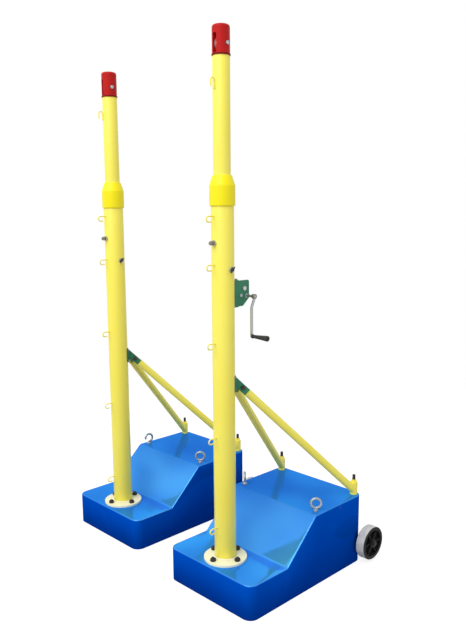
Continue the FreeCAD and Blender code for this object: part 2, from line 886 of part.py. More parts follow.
def clamp_bosses():
    """Threaded bosses welded round the clamp screws, cut to the tube's curve."""
    block = hexagon("boss_block", "screw_boss_flats", "post_d / 2 + screw_boss_height")
    tube = cylinder("boss_tube", "post_d / 2 + press_gap", "post_d")
    place(tube, y="post_d / 2", turn=TO_RIGHT)
    bore = cylinder("boss_bore", "screw_d / 2 + thread_gap", "post_d")
    boss = cut("boss_pattern", block, [tube, bore])
    front = at(0, 0, D.knob_screw_height, TO_FRONT.multiply(Rotation(Vector(0, 0, 1), 90)))
    right = at(0, 0, T_SCREW_Z, TO_RIGHT)
    return keep(group("clamp_bosses", on_posts(boss, [front, right])), "clamp_bosses")


def knob_screw(post):
    """Front clamp screw with a plain six-sided knob; its tip stands off the mast by a hair."""
    start = "mast_d / 2 + slide_gap"
    neck = "post_d / 2 + screw_boss_height + knob_gap"
    stem = place(cylinder(f"{post.name}_knob_stem", "screw_d / 2", f"{neck} - ({start})"), z=start)
    body = new_body(f"{post.name}_knob_body")
    side = "knob_flats / sqrt(3)"
    sketch = outline(body, "XY_Plane", [
        (side, "0"), (f"{side} / 2", "knob_flats / 2"), (f"-{side} / 2", "knob_flats / 2"),
        (f"-{side}", "0"), (f"-{side} / 2", "-knob_flats / 2"), (f"{side} / 2", "-knob_flats / 2"),
    ])
    block = pad(body, sketch, "knob_thickness")
    round_edges(body, block, "knob_rounding", lambda e: e.BoundBox.ZMin > D.knob_thickness - 0.01)
    place(body, z=neck)
    screw = fused(f"{post.name}_knob_screw", [stem, body])
    return keep(stand(screw, post, "knob_screw_height", TO_FRONT), f"{post.name}_knob_screw")


def t_screw(post):
    """Right-hand clamp screw with a cross bar."""
    start = "mast_d / 2 + slide_gap"
    end = "post_d / 2 + t_screw_reach"
    stem = place(cylinder(f"{post.name}_t_stem", "screw_d / 2", f"{end} - ({start})"), z=start)
    bar = cylinder(f"{post.name}_t_bar", "t_bar_d / 2", "t_bar_length")
    lie = Rotation(Vector(0, 0, 1), D.t_bar_tilt).multiply(Rotation(Vector(0, 1, 0), 90))
    half = lie.multVec(Vector(0, 0, -D.t_bar_length / 2))
    bar.Placement = FreeCAD.Placement(half, lie)
    bind(bar, "Placement.Base.z", f"{end} - 0.6 * t_bar_d")
    screw = fused(f"{post.name}_t_screw", [stem, bar])
    return keep(stand(screw, post, T_SCREW_LEVEL, TO_RIGHT), f"{post.name}_t_screw")


def brace_line(side):
    """Start, foot and direction of a brace, from its post's axis; side is +1 left, -1 right."""
    start = Vector(D.bracket_reach, side * D.bracket_half_spread, D.bracket_height)
    foot = Vector(REAR_X - D.brace_foot_setback, side * (HALF_WIDTH - D.brace_foot_inset),
                  D.rear_height + D.brace_foot_height)
    return start, foot, (foot - start).normalize()


def along_brace(side):
    """The turn that takes +Z along a brace and keeps local X in its upright plane."""
    direction = brace_line(side)[2]
    level = Vector(-direction.y, direction.x, 0).normalize()
    return Rotation(level.cross(direction), level, direction, "ZYX")


def brace_bracket(post):
    """Saddle on the rear of the lower tube with two cheeks along each brace."""
    ring = cylinder(f"{post.name}_bracket_ring", "post_d / 2 + bracket_sheet", "bracket_saddle_height")
    bind(ring, "Angle", "bracket_saddle_sweep")
    place(ring, z="bracket_height - bracket_saddle_height / 2",
          turn=Rotation(Vector(0, 0, 1), -D.bracket_saddle_sweep / 2))
    cheeks = []
    holes = []
    for side in SIDES:
        start, _, direction = brace_line(side)
        turn = along_brace(side)
        inner = D.tongue_thickness / 2 + D.tongue_gap
        for across in (inner, -inner - D.bracket_sheet):
            name = f"{post.name}_cheek_{len(cheeks)}"
            cheek = box(name, "cheek_width", "bracket_sheet", "bracket_reach + brace_start - cheek_end_gap")
            corner = Vector(-D.cheek_width / 2, across, -D.bracket_reach)
            cheek.Placement = FreeCAD.Placement(start + turn.multVec(corner), turn)
            cheeks.append(cheek)
        hole = cylinder(f"{post.name}_cheek_hole_{side + 1}", "brace_bolt_d / 2 + bolt_hole_gap", "2 * brace_d")
        hole_turn = turn.multiply(TO_RIGHT)
        mouth = start + direction * D.brace_bolt_at - hole_turn.multVec(Vector(0, 0, D.brace_d))
        hole.Placement = FreeCAD.Placement(mouth, hole_turn)
        holes.append(hole)
    core = cylinder(f"{post.name}_bracket_core", "post_d / 2 + press_gap", "2 * bracket_height")
    front = box(f"{post.name}_bracket_front", "post_d", "2 * post_d", "2 * bracket_height")
    place(front, x="-post_d", y="-post_d")
    whole = fused(f"{post.name}_bracket_blank", [ring, *cheeks])
    item = cut(f"{post.name}_brace_bracket", whole, [core, front, *holes])
    return keep(stand(item, post), f"{post.name}_brace_bracket")


BRACE_RUN = (
    "sqrt((base_length - base_front - brace_foot_setback - bracket_reach)^2"
    " + (base_width / 2 - brace_foot_inset - bracket_half_spread)^2"
    " + (bracket_height - rear_height - brace_foot_height)^2) - brace_start"
)


def brace(post, side, label):
    """Tube with a flat tongue at its top, welded to an upright foot sleeve."""
    start, foot, direction = brace_line(side)
    turn = along_brace(side)
    name = f"{post.name}_{label}"
    end = start + direction * D.brace_start
    tube = cylinder(f"{name}_tube", "brace_d / 2", BRACE_RUN)
    tube.Placement = FreeCAD.Placement(end, turn)
    hollow = cylinder(f"{name}_hollow", "brace_d / 2 - brace_wall", f"{BRACE_RUN} - brace_d - brace_plug")
    hollow.Placement = FreeCAD.Placement(end + direction * D.brace_plug, turn)
    sleeve = cylinder(f"{name}_sleeve", "brace_d / 2", "sleeve_height")
    sleeve.Placement = at(foot.x, foot.y, D.rear_height)
    bore = cylinder(f"{name}_bore", "stud_d / 2 + bolt_hole_gap", "2 * sleeve_height")
    bore.Placement = at(foot.x, foot.y, D.rear_height - D.sleeve_height / 2)
    tongue = box(f"{name}_tongue", "tongue_width", "tongue_thickness",
                 "brace_start - tongue_start + brace_plug / 2")
    corner = Vector(-D.tongue_width / 2, -D.tongue_thickness / 2, D.tongue_start)
    tongue.Placement = FreeCAD.Placement(start + turn.multVec(corner), turn)
    hole = cylinder(f"{name}_hole", "brace_bolt_d / 2 + bolt_hole_gap", "2 * brace_d")
    hole_turn = turn.multiply(TO_RIGHT)
    middle = start + direction * D.brace_bolt_at
    hole.Placement = FreeCAD.Placement(middle - hole_turn.multVec(Vector(0, 0, D.brace_d)), hole_turn)
    outer = fused(f"{name}_outer", [tube, sleeve, tongue])
    item = cut(name, outer, [hollow, bore, hole])
    return keep(stand(item, post), name)


def brace_bolts():
    """Cross bolts and nuts that hold the braces' tongues between the bracket's cheeks."""
    grip = "tongue_thickness + 2 * tongue_gap + 2 * bracket_sheet"
    bolt = hex_bolt("brace_bolt_pattern", "brace_bolt_d", f"{grip} + brace_bolt_head + brace_bolt_proud",
                    "brace_bolt_flats", "brace_bolt_head")
    nut = hex_nut("brace_nut_pattern", "brace_bolt_d", "brace_bolt_flats", "brace_bolt_head")
    half = D.tongue_thickness / 2 + D.tongue_gap + D.bracket_sheet
    places = []
    for side in SIDES:
        start, _, direction = brace_line(side)
        turn = along_brace(side).multiply(TO_LEFT if side > 0 else TO_RIGHT)
        middle = start + direction * D.brace_bolt_at
        reach = turn.multVec(Vector(0, 0, half))
        places += on_posts(bolt, [FreeCAD.Placement(middle + reach, turn)])
        places += on_posts(nut, [FreeCAD.Placement(middle - reach, turn)])
    return keep(group("brace_bolts", places), "brace_bolts")


def foot_spots():
    """Where the braces' feet stand, from a post's axis."""
    return [brace_line(side)[1] for side in SIDES]


def foot_studs():
    """Studs with heads under the top sheet, up through the sleeves."""
    head = place(hexagon("stud_head_block", "stud_head_flats", "stud_head"), z="-stud_head - sheet_wall")
    stem = cylinder("stud_stem", "stud_d / 2", "sleeve_height + stud_rise + sheet_wall")
    place(stem, z="-sheet_wall")
    stud = fused("stud_pattern", [head, stem])
    places = on_posts(stud, [at(p.x, p.y, D.rear_height) for p in foot_spots()])
    return keep(group("foot_studs", places), "foot_studs")


def foot_nuts():
    """Washered nuts on top of the sleeves."""
    washer = cylinder("foot_washer", "foot_nut_washer_d / 2", "foot_nut_washer")
    block = hexagon("foot_nut_block", "stud_head_flats", "foot_nut_height")
    hole = cylinder("foot_nut_hole", "stud_d / 2 + thread_gap", "3 * foot_nut_height")
    place(hole, z="-foot_nut_height")
    nut = cut("foot_nut_pattern", fused("foot_nut_blank", [washer, block]), [hole])
    level = D.rear_height + D.sleeve_height
    places = on_posts(nut, [at(p.x, p.y, level) for p in foot_spots()])
    return keep(group("foot_nuts", places), "foot_nuts")


def lifting_eye(kind):
    """A ring of wire on a collared stem; kind is open or closed."""
    ring = doc.addObject("Part::Torus", f"{kind}_eye_ring")
    bind(ring, "Radius1", "eye_radius")
    bind(ring, "Radius2", "eye_wire_d / 2")
    bind(ring, "Angle3", f"{kind}_eye_sweep")
    place(ring, z="eye_rise + eye_radius",
          turn=Rotation(Vector(1, 0, 0), 90).multiply(Rotation(Vector(0, 0, 1), -90)))
    stem = cylinder(f"{kind}_eye_stem", "eye_stem_d / 2", "eye_rise + eye_shank")
    place(stem, z="-eye_shank")
    seat = cylinder(f"{kind}_eye_seat", "eye_collar_d / 2", "eye_collar")
    return fused(f"{kind}_eye_pattern", [ring, stem, seat])


def eye_bolts():
    """Lifting eyes at the top of the ramp, with their nuts under the sheet."""
    nut = hex_nut("eye_nut_pattern", "eye_stem_d", "eye_nut_flats", "eye_nut_height")
    x = D.ramp_end - D.base_front + D.eye_setback
    places = []
    for side, kind in ((1, "open"), (-1, "closed")):
        y = side * (HALF_WIDTH - D.eye_inset)
        eye = lifting_eye(kind)
        places += on_posts(nut, [at(x, y, D.rear_height - D.sheet_wall)])
        for post in POSTS:
            turn = Rotation(Vector(0, 0, 1), size(f"{post.name}_{kind}_eye_turn"))
            base = FreeCAD.Placement(POST_XY[post.name], Rotation())
            places.append((eye, base.multiply(at(x, y, D.rear_height, turn))))
    return keep(group("eye_bolts", places), "eye_bolts")


AXLE_X = REAR_X + D.axle_behind
WHEEL_INNER = HALF_WIDTH + D.wheel_standoff


def axles():
    """Stepped axles: a shoulder inside each wheel and a threaded end outside it."""
    inner = "base_width / 2 + wheel_standoff - wheel_play"
    outer = "base_width / 2 + wheel_standoff + wheel_width + wheel_play"
    end = f"{outer} + axle_thread_length"
    body = turned("axle_pattern", [
        ("0", f"-({end})"), ("axle_thread_d / 2", f"-({end})"), ("axle_thread_d / 2", f"-({outer})"),
        ("axle_journal_d / 2", f"-({outer})"), ("axle_journal_d / 2", f"-({inner})"),
        ("axle_d / 2", f"-({inner})"), ("axle_d / 2", inner), ("axle_journal_d / 2", inner),
        ("axle_journal_d / 2", outer), ("axle_thread_d / 2", outer), ("axle_thread_d / 2", end), ("0", end),
    ])
    places = on_posts(body, [at(AXLE_X, 0, D.axle_height, TO_RIGHT)])
    return keep(group("axles", places), "axles")


def axle_brackets():
    """Round-nosed plates on the rear wall that carry the axle."""
    thick = "axle_bracket_thickness"
    nose = cylinder("axle_nose", "axle_bracket_radius", thick)
    root = box("axle_root", "axle_behind", "2 * axle_bracket_radius", thick)
    place(root, x="-axle_behind", y="-axle_bracket_radius")
    wall = box("axle_wall", "axle_bracket_radius", "4 * axle_bracket_radius", f"3 * {thick}")
    place(wall, x="-axle_behind - axle_bracket_radius", y="-2 * axle_bracket_radius", z=f"-{thick}")
    bore = place(cylinder("axle_bore", "axle_d / 2 + thread_gap", f"3 * {thick}"), z=f"-{thick}")
    blank = fused("axle_bracket_blank", [nose, root])
    plate = cut("axle_bracket_pattern", blank, [wall, bore])
    ys = [side * D.axle_bracket_spread / 2 + D.axle_bracket_thickness / 2 for side in SIDES]
    places = on_posts(plate, [at(AXLE_X, y, D.axle_height, TO_RIGHT) for y in ys])
    return keep(group("axle_brackets", places), "axle_brackets")


def wheel_nuts():
    """Washered nuts on the axles' ends."""
    washer = cylinder("wheel_washer_blank", "wheel_washer_d / 2", "wheel_washer")
    block = hexagon("wheel_nut_block", "wheel_nut_flats", "wheel_nut_height")
    hole = cylinder("wheel_nut_hole", "axle_thread_d / 2 + thread_gap", "3 * wheel_nut_height")
    place(hole, z="-wheel_nut_height")
    nut = cut("wheel_nut_pattern", fused("wheel_nut_blank", [washer, block]), [hole])
    reach = WHEEL_INNER + D.wheel_width + D.wheel_play
    spots = [at(AXLE_X, side * reach, D.axle_height, TO_LEFT if side > 0 else TO_RIGHT) for side in SIDES]
    return keep(group("wheel_nuts", on_posts(nut, spots)), "wheel_nuts")


def wheel_hub(post, side, label):
    """Moulded wheel: boss, web, rim and radial ribs; local Z = 0 is its inner face."""
    name = f"{post.name}_{label}_wheel_hub"
    body = new_body(f"{name}_body")
    rim_outer = "wheel_d / 2 - tyre_thickness"
    rim_inner = f"{rim_outer} - rim_thickness"
    low = "wheel_width / 2 - wheel_web / 2"
    high = "wheel_width / 2 + wheel_web / 2"
    boss = "hub_boss_d / 2"
    bore = "axle_journal_d / 2 + spin_gap"
    revolve(body, [
        (bore, "0"), (boss, "0"), (boss, low), (rim_inner, low), (rim_inner, "0"), (rim_outer, "0"),
        (rim_outer, "wheel_width"), (rim_inner, "wheel_width"), (rim_inner, high),
        (boss, high), (boss, "wheel_width"), (bore, "wheel_width"),
    ])
    start = f"{boss} - wheel_rib / 2"
    rib = pad(body, outline(body, "XY_Plane", [
        (start, "-wheel_rib / 2"), (f"{rim_inner} + wheel_rib / 2", "-wheel_rib / 2"),
        (f"{rim_inner} + wheel_rib / 2", "wheel_rib / 2"), (start, "wheel_rib / 2"),
    ], "rib"), "wheel_width - wheel_rib")
    pattern = body.newObject("PartDesign::PolarPattern", "ribs")
    pattern.Originals = [rib]
    pattern.Axis = (next(f for f in body.Origin.OriginFeatures if f.Role == "Z_Axis"), [""])
    pattern.Angle = 360
    bind(pattern, "Occurrences", "wheel_rib_count")
    body.Tip = pattern
    return keep(on_axle(body, post, side), name)


def on_axle(item, post, side):
    """Places a wheel's piece on its axle, inner face towards the base."""
    sign = "" if side > 0 else "-"
    return place(
        item, f"{post.x} + {REAR} + axle_behind",
        f"{post.y} + {sign}(base_width / 2 + wheel_standoff)",
        "axle_height", TO_LEFT if side > 0 else TO_RIGHT,
    )


def wheel_tyre(post, side, label):
    """Rubber tread moulded round the wheel."""
    name = f"{post.name}_{label}_wheel_tyre"
    inner = "wheel_d / 2 - tyre_thickness"
    body = turned(f"{name}_body", [
        (inner, "0"), ("wheel_d / 2 - tyre_chamfer", "0"), ("wheel_d / 2", "tyre_chamfer"),
        ("wheel_d / 2", "wheel_width - tyre_chamfer"), ("wheel_d / 2 - tyre_chamfer", "wheel_width"),
        (inner, "wheel_width"),
    ])
    return keep(on_axle(body, post, side), name)


def winch_saddle():
    """Channel welded to the rear of the lower tube, flat where the winch bolts on."""
    width = "saddle_width"
    block = box("saddle_block", "saddle_reach", width, "saddle_height")
    place(block, y=f"-{width} / 2", z="saddle_bottom")
    hollow = box("saddle_hollow", "saddle_reach", f"{width} - 2 * saddle_sheet", "2 * saddle_height")
    below = "saddle_bottom - saddle_height / 2"
    place(hollow, x="-saddle_sheet", y=f"-{width} / 2 + saddle_sheet", z=below)
    front = box("saddle_front", "saddle_reach", "2 * post_d", "2 * saddle_height")
    place(front, x="-saddle_skirt", y="-post_d", z="saddle_bottom - saddle_height / 2")
    tube = cylinder("saddle_tube", "post_d / 2 + press_gap", "2 * saddle_height")
    place(tube, z="saddle_bottom - saddle_height / 2")
    drills = frame_bolt_drills("saddle")
    item = cut("winch_saddle", block, [hollow, front, tube, *drills])
    return keep(item, "winch_saddle")


def frame_bolt_drills(name):
    """Drills for the two bolts that hold the winch frame on its saddle."""
    drills = []
    for side in SIDES:
        drill = cylinder(f"{name}_drill_{side + 1}", "frame_bolt_d / 2 + thread_gap", "saddle_reach")
        level = f"frame_bottom + frame_height / 2 + {side} * frame_bolt_spacing / 2"
        drills.append(place(drill, x="saddle_reach / 2", z=level, turn=facing(Vector(1, 0, 0))))
    return drills


PINION_OFFSET = (D.gear_teeth + D.pinion_teeth) * D.gear_module / 2
PINION_X = D.drum_reach + PINION_OFFSET * math.cos(math.radians(D.pinion_angle))
PINION_Z = D.drum_height + PINION_OFFSET * math.sin(math.radians(D.pinion_angle))
PAWL_X = PINION_X - D.pawl_back
PAWL_Z = PINION_Z + D.pawl_up
CHEEK = D.saddle_width / 2
CHEEK_INNER = CHEEK - D.frame_sheet


def winch_frame():
    """Channel of bent sheet: a back on the saddle and two cheeks with a cut-off lower corner."""
    body = new_body("winch_frame_body")
    back = "saddle_reach"
    front = "(saddle_reach + frame_depth)"
    top = "frame_bottom + frame_height"
    profile = outline(body, "XZ_Plane", [
        (back, "frame_bottom"), (f"{front} - frame_nose - frame_cut / 2", "frame_bottom"),
        (front, "frame_bottom + frame_cut"), (front, top), (back, top),
    ], "cheek")
    block = pad(body, profile, "saddle_width", both_ways=True)
    round_edges(body, block, "frame_rounding", is_cheek_corner)
    inside = outline(body, "XY_Plane", [
        ("saddle_reach + frame_sheet", "-saddle_width / 2 + frame_sheet"),
        ("2 * saddle_reach + frame_depth", "-saddle_width / 2 + frame_sheet"),
        ("2 * saddle_reach + frame_depth", "saddle_width / 2 - frame_sheet"),
        ("saddle_reach + frame_sheet", "saddle_width / 2 - frame_sheet"),
    ], "inside")
    pocket_through(body, inside)
    drills = frame_bolt_drills("frame")
    for name, x, z, radius in (
        ("drum", D.drum_reach, D.drum_height, "drum_axle_d / 2 + thread_gap"),
        ("shaft", PINION_X, PINION_Z, "shaft_d / 2 + spin_gap"),
        ("pawl", PAWL_X, PAWL_Z, "pawl_pin_d / 2 + thread_gap"),
    ):
        drill = cylinder(f"frame_{name}_drill", radius, "2 * saddle_width")
        drill.Placement = at(x, D.saddle_width, z, TO_RIGHT)
        drills.append(drill)
    return keep(cut("winch_frame", body, drills), "winch_frame")


def is_cheek_corner(edge):
    """Edges across the frame at the free corners of its cheeks."""
    span = edge.BoundBox
    return span.YLength > D.saddle_width / 2 and span.XMin > D.saddle_reach + D.frame_sheet


def gear_face(teeth, phase):
    """Flat face of an involute gear in the XY plane; tooth 0 points at the phase angle.

    Each flank runs straight from the root to the base circle and then follows the
    involute, whose polar angle at radius r is half the tooth angle at the pitch circle
    plus inv(pressure angle) minus inv(acos(base / r)), with inv(a) = tan(a) - a.
    """
    pressure = math.radians(D.pressure_angle)
    pitch = teeth * D.gear_module / 2
    base = pitch * math.cos(pressure)
    tip = pitch + D.addendum_share * D.gear_module
    root = pitch - D.dedendum_share * D.gear_module
    half = math.pi / (2 * teeth) * D.tooth_share
    start = max(base, root)
    radii = [start, (start + tip) / 2, tip]
    flank = [(root, half_angle(start, base, half, pressure))] if root < base else []
    flank += [(r, half_angle(r, base, half, pressure)) for r in radii]
    points = []
    for tooth in range(int(teeth)):
        centre = math.radians(phase) + 2 * math.pi * tooth / teeth
        for radius, angle in flank:
            points.append(polar(radius, centre - angle))
        for radius, angle in reversed(flank):
            points.append(polar(radius, centre + angle))
    return Part.Face(Part.makePolygon(points + points[:1]))


def half_angle(radius, base, half, pressure):
    """Half of a tooth's polar width at a radius on the involute."""
    here = math.acos(min(1.0, base / radius))
    return half + (math.tan(pressure) - pressure) - (math.tan(here) - here)


def polar(radius, angle):
    """A point in the XY plane."""
    return Vector(radius * math.cos(angle), radius * math.sin(angle), 0)


def across(name, shape, x, z, y_start):
    """A shape built along +Z, turned to run towards -Y from a given Y, about a line at X and Z."""
    item = doc.addObject("Part::Feature", name)
    item.Shape = shape
    item.Placement = at(x, y_start, z, TO_RIGHT).multiply(shape.Placement)
    return item


def winch_drum():
    """Rope drum: a core with one flange; the big gear closes its other end."""
    start = D.gear_side_gap + D.gear_width
    length = 2 * CHEEK_INNER - start - D.drum_flange_gap
    core = Part.makeCylinder(D.drum_core_d / 2, length)
    flange = Part.makeCylinder(D.drum_flange_d / 2, D.drum_flange, Vector(0, 0, length - D.drum_flange))
    bore = Part.makeCylinder(D.drum_axle_d / 2 + D.spin_gap, length)
    drum = core.fuse(flange).cut(bore)
    return keep(across("winch_drum", drum, D.drum_reach, D.drum_height, CHEEK_INNER - start), "winch_drum")


def drum_gear():
    """The big spur gear, one tooth aimed at the pinion."""
    face = gear_face(D.gear_teeth, D.pinion_angle)
    bore = Part.makeCylinder(D.drum_axle_d / 2 + D.spin_gap, D.gear_width)
    gear = face.extrude(Vector(0, 0, D.gear_width)).cut(bore)
    start = CHEEK_INNER - D.gear_side_gap
    return keep(across("drum_gear", gear, D.drum_reach, D.drum_height, start), "drum_gear")


def drum_axle():
    """Bolt across the cheeks that the drum turns on, with its nut."""
    bolt = hex_bolt("drum_axle_bolt", "drum_axle_d", "saddle_width + drum_axle_head",
                    "drum_axle_flats", "drum_axle_head")
    nut = hex_nut("drum_axle_nut", "drum_axle_d", "drum_axle_flats", "drum_axle_head")
    head = at(D.drum_reach, -CHEEK, D.drum_height, TO_RIGHT)
    tail = at(D.drum_reach, CHEEK, D.drum_height, TO_RIGHT)
    return keep(group("drum_axle", [(bolt, head), (nut, tail)]), "drum_axle")


def pinion_shaft():
    """Crank shaft with the pinion cut in it and a retaining ring outside each cheek."""
    length = D.shaft_tail + 2 * CHEEK + D.crank_hub_at + D.crank_hub_length
    shaft = Part.makeCylinder(D.shaft_d / 2, length)
    phase = D.pinion_angle + 180 + 180 / D.pinion_teeth
    teeth = gear_face(D.pinion_teeth, phase).extrude(Vector(0, 0, D.gear_width))
    teeth.translate(Vector(0, 0, D.shaft_tail + D.frame_sheet + D.gear_side_gap))
    solid = shaft.fuse(teeth)
    left_ring = D.shaft_tail - D.shaft_ring_gap - D.shaft_ring
    right_ring = D.shaft_tail + 2 * CHEEK + D.shaft_ring_gap
    for z in (left_ring, right_ring):
        solid = solid.fuse(Part.makeCylinder(D.shaft_ring_d / 2, D.shaft_ring, Vector(0, 0, z)))
    start = CHEEK + D.shaft_tail
    return keep(across("pinion_shaft", solid, PINION_X, PINION_Z, start), "pinion_shaft")


RATCHET_START = D.ratchet_side_gap + D.ratchet_width - CHEEK_INNER


PAWL_PIN = Vector(-D.pawl_back, D.pawl_up, 0)


def pawl_seat():
    """The pawl's arm, from pin to tip, when it is dropped between two teeth.

    Its tip lies halfway up the teeth, where the arm is square to the ratchet's radius.
    """
    radius = (D.ratchet_d - D.ratchet_tooth) / 2
    angle = math.atan2(PAWL_PIN.y, PAWL_PIN.x) - math.acos(radius / PAWL_PIN.Length)
    return polar(radius, angle) - PAWL_PIN


def ratchet_wheel():
    """Saw-toothed wheel on the pinion shaft, with one steep face just past the seated pawl's tip."""
    arm = pawl_seat()
    square = Vector(arm.y, -arm.x, 0).normalize() * (D.pawl_tip / 2)
    corner = PAWL_PIN + arm + square
    phase = math.atan2(corner.y, corner.x) - D.pawl_seat_gap / corner.Length
    teeth = int(D.ratchet_teeth)
    tip = D.ratchet_d / 2
    points = []
    for tooth in range(teeth):
        angle = phase + 2 * math.pi * tooth / teeth
        points += [polar(tip, angle), polar(tip - D.ratchet_tooth, angle)]
    face = Part.Face(Part.makePolygon(points + points[:1]))
    bore = Part.makeCylinder(D.shaft_d / 2, D.ratchet_width)
    wheel = face.extrude(Vector(0, 0, D.ratchet_width)).cut(bore)
    return keep(across("ratchet_wheel", wheel, PINION_X, PINION_Z, RATCHET_START), "ratchet_wheel")


def ratchet_pawl():
    """Wedge on a pin, lifted just clear of the ratchet's teeth."""
    arm = pawl_seat()
    angle = math.degrees(math.atan2(arm.y, arm.x)) + D.pawl_lift
    half_root = D.pawl_root / 2
    half_tip = D.pawl_tip / 2
    wedge = Part.makePolygon([
        Vector(0, -half_root, 0), Vector(arm.Length, -half_tip, 0),
        Vector(arm.Length, half_tip, 0), Vector(0, half_root, 0), Vector(0, -half_root, 0),
    ])
    blade = Part.Face(wedge).extrude(Vector(0, 0, D.ratchet_width))
    eye = Part.makeCylinder(D.pawl_eye_d / 2, D.ratchet_width)
    hole = Part.makeCylinder(D.pawl_pin_d / 2 + D.spin_gap, D.ratchet_width)
    pawl = blade.fuse(eye).cut(hole)
    pawl.rotate(Vector(0, 0, 0), Vector(0, 0, 1), angle)
    return keep(across("ratchet_pawl", pawl, PAWL_X, PAWL_Z, RATCHET_START), "ratchet_pawl")


def winch_bolts():
    """Bolts through the frame's back into the saddle, and the pawl's pin."""
    bolt = hex_bolt("frame_bolt_pattern", "frame_bolt_d", "frame_sheet + saddle_sheet",
                    "frame_bolt_flats", "frame_bolt_head")
    pin = hex_bolt("pawl_pin_pattern", "pawl_pin_d", "frame_sheet + 2 * ratchet_side_gap + ratchet_width",
                   "frame_bolt_flats", "frame_bolt_head")
    places = []
    for side in SIDES:
        level = D.frame_bottom + D.frame_height / 2 + side * D.frame_bolt_spacing / 2
        places.append((bolt, at(D.saddle_reach + D.frame_sheet, 0, level, facing(Vector(1, 0, 0)))))
    places.append((pin, at(PAWL_X, -CHEEK, PAWL_Z, TO_RIGHT)))
    return keep(group("winch_bolts", places), "winch_bolts")


def crank_arm():
    """Flat bar bent in towards the post, with a hub on the shaft and a pin for the grip.

    Its lower length lies as near the post as it can while it still swings past the T-screw.
    """
    body = new_body("crank_bar_body")
    top = "crank_hub_d / 2"
    face = "(saddle_width / 2 + crank_hub_at + crank_hub_length / 2 + crank_bar / 2)"
    low = "crank_length + crank_bar_width / 2"
    lean = "(post_d / 2 + t_screw_reach + crank_clearance + crank_bar)"
    sketch = outline(body, "YZ_Plane", [
        (f"-{face}", top), (f"-{face}", "-crank_bend_start"), (f"-({lean})", "-crank_bend_end"),
        (f"-({lean})", f"-({low})"), (f"-({lean}) + crank_bar", f"-({low})"),
        (f"-({lean}) + crank_bar", "-crank_bend_end"), (f"-{face} + crank_bar", "-crank_bend_start"),
        (f"-{face} + crank_bar", top),
    ])
    bar = pad(body, sketch, "crank_bar_width", both_ways=True)
    round_edges(body, bar, "crank_bar_width / 2 - thread_gap", is_bar_end)
    hub = cylinder("crank_hub", "crank_hub_d / 2", "crank_hub_length")
    place(hub, y="-saddle_width / 2 - crank_hub_at", turn=TO_RIGHT)
    pin_length = "crank_bar + grip_gap + grip_length + grip_gap"
    pin = cylinder("grip_pin", "grip_pin_d / 2", pin_length)
    place(pin, y=f"-({lean}) + crank_bar", z="-crank_length", turn=TO_RIGHT)
    rivet = cylinder("grip_rivet", "grip_rivet_d / 2", "grip_rivet")
    place(rivet, y=f"-({lean}) + crank_bar - ({pin_length})", z="-crank_length", turn=TO_RIGHT)
    bore = cylinder("crank_bore", "shaft_d / 2", "2 * crank_length")
    place(bore, turn=TO_RIGHT)
    blank = fused("crank_blank", [body, hub, pin, rivet])
    item = cut("crank_arm", blank, [bore])
    item.Placement = at(PINION_X, 0, PINION_Z)
    return keep(item, "crank_arm")


def is_bar_end(edge):
    """Edges along Y at the two ends of the crank's bar."""
    span = edge.BoundBox
    thin = span.ZLength < 0.01 and span.XLength < 0.01 and span.YLength < 2 * D.crank_bar
    low = abs(span.ZMin + D.crank_length + D.crank_bar_width / 2) < 0.01
    return thin and low


def crank_grip():
    """Flared grip that spins on the crank's pin; local Z = 0 is its root."""
    bore = "grip_pin_d / 2 + spin_gap"
    body = new_body("crank_grip_body")
    shape = revolve(body, [
        (bore, "0"), ("grip_root_d / 2", "0"), ("grip_root_d / 2", "grip_root"),
        ("grip_neck_d / 2", "2 * grip_root"), ("grip_end_d / 2", "grip_length - grip_root"),
        ("grip_end_d / 2", "grip_length"), (bore, "grip_length"),
    ])
    round_edges(body, shape, "grip_rounding", ring_at(D.grip_length, D.grip_end_d / 2))
    outer_face = D.post_d / 2 + D.t_screw_reach + D.crank_clearance + D.crank_bar
    body.Placement = at(PINION_X, -outer_face - D.grip_gap, PINION_Z - D.crank_length, TO_RIGHT)
    return keep(body, "crank_grip")


def build():
    """Makes every sub-part."""
    hook = crook()
    for post in POSTS:
        base_shell(post)
        lower_tube(post)
        collar(post)
        mast_tube(post)
        guide_ring(post)
        pulley_head(post)
        pulley(post)
        pulley_bolt(post)
        mast_hook(post, hook)
        knob_screw(post)
        t_screw(post)
        brace_bracket(post)
        for side, label in ((1, "left"), (-1, "right")):
            brace(post, side, f"{label}_brace")
            wheel_hub(post, side, label)
            wheel_tyre(post, side, label)
    for make in (
        base_plates, ballast_blocks, foot_flanges, flange_bolts, clamp_bosses, brace_bolts,
        net_hooks, foot_studs, foot_nuts, eye_bolts, axles, axle_brackets, wheel_nuts,
        winch_saddle, winch_frame, winch_drum, drum_gear, drum_axle, pinion_shaft,
        ratchet_wheel, ratchet_pawl, winch_bolts, crank_arm, crank_grip,
    ):
        make()


def check():
    """Stops before writing if any object failed or any sub-part is not sound."""
    failed = [o.Label for o in doc.Objects if {"Invalid", "Error"} & set(o.State)]
    if failed:
        raise RuntimeError(f"failed objects: {failed}")
    for item in SUB_PARTS:
        shape = item.Shape
        if shape.isNull() or not shape.isValid() or not shape.Solids:
            raise RuntimeError(f"unsound sub-part: {item.Label}")


def write():
    """Writes one file for each sub-part."""
    os.makedirs("parts", exist_ok=True)
    for item in SUB_PARTS:
        item.Shape.exportStep(f"parts/{item.Label}.step")
        print(f"{item.Label}: {len(item.Shape.Solids)} solids, {item.Shape.Volume / 1000:.1f} cm3")


build()
doc.recompute()
check()
write()
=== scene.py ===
"""Looks of a pair of movable net posts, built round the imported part.

Metres. Z is up, the floor is Z = 0 and the winch post's axis is X = 0, Y = 0, as in the part.
Each sub-assembly is a class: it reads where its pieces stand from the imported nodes, builds the
surfaces that show and dresses them, and the nodes that stay as they are get their finish by slot.
"""

import logging
import math
from collections.abc import Sequence
from dataclasses import dataclass
from enum import Enum
from functools import cache

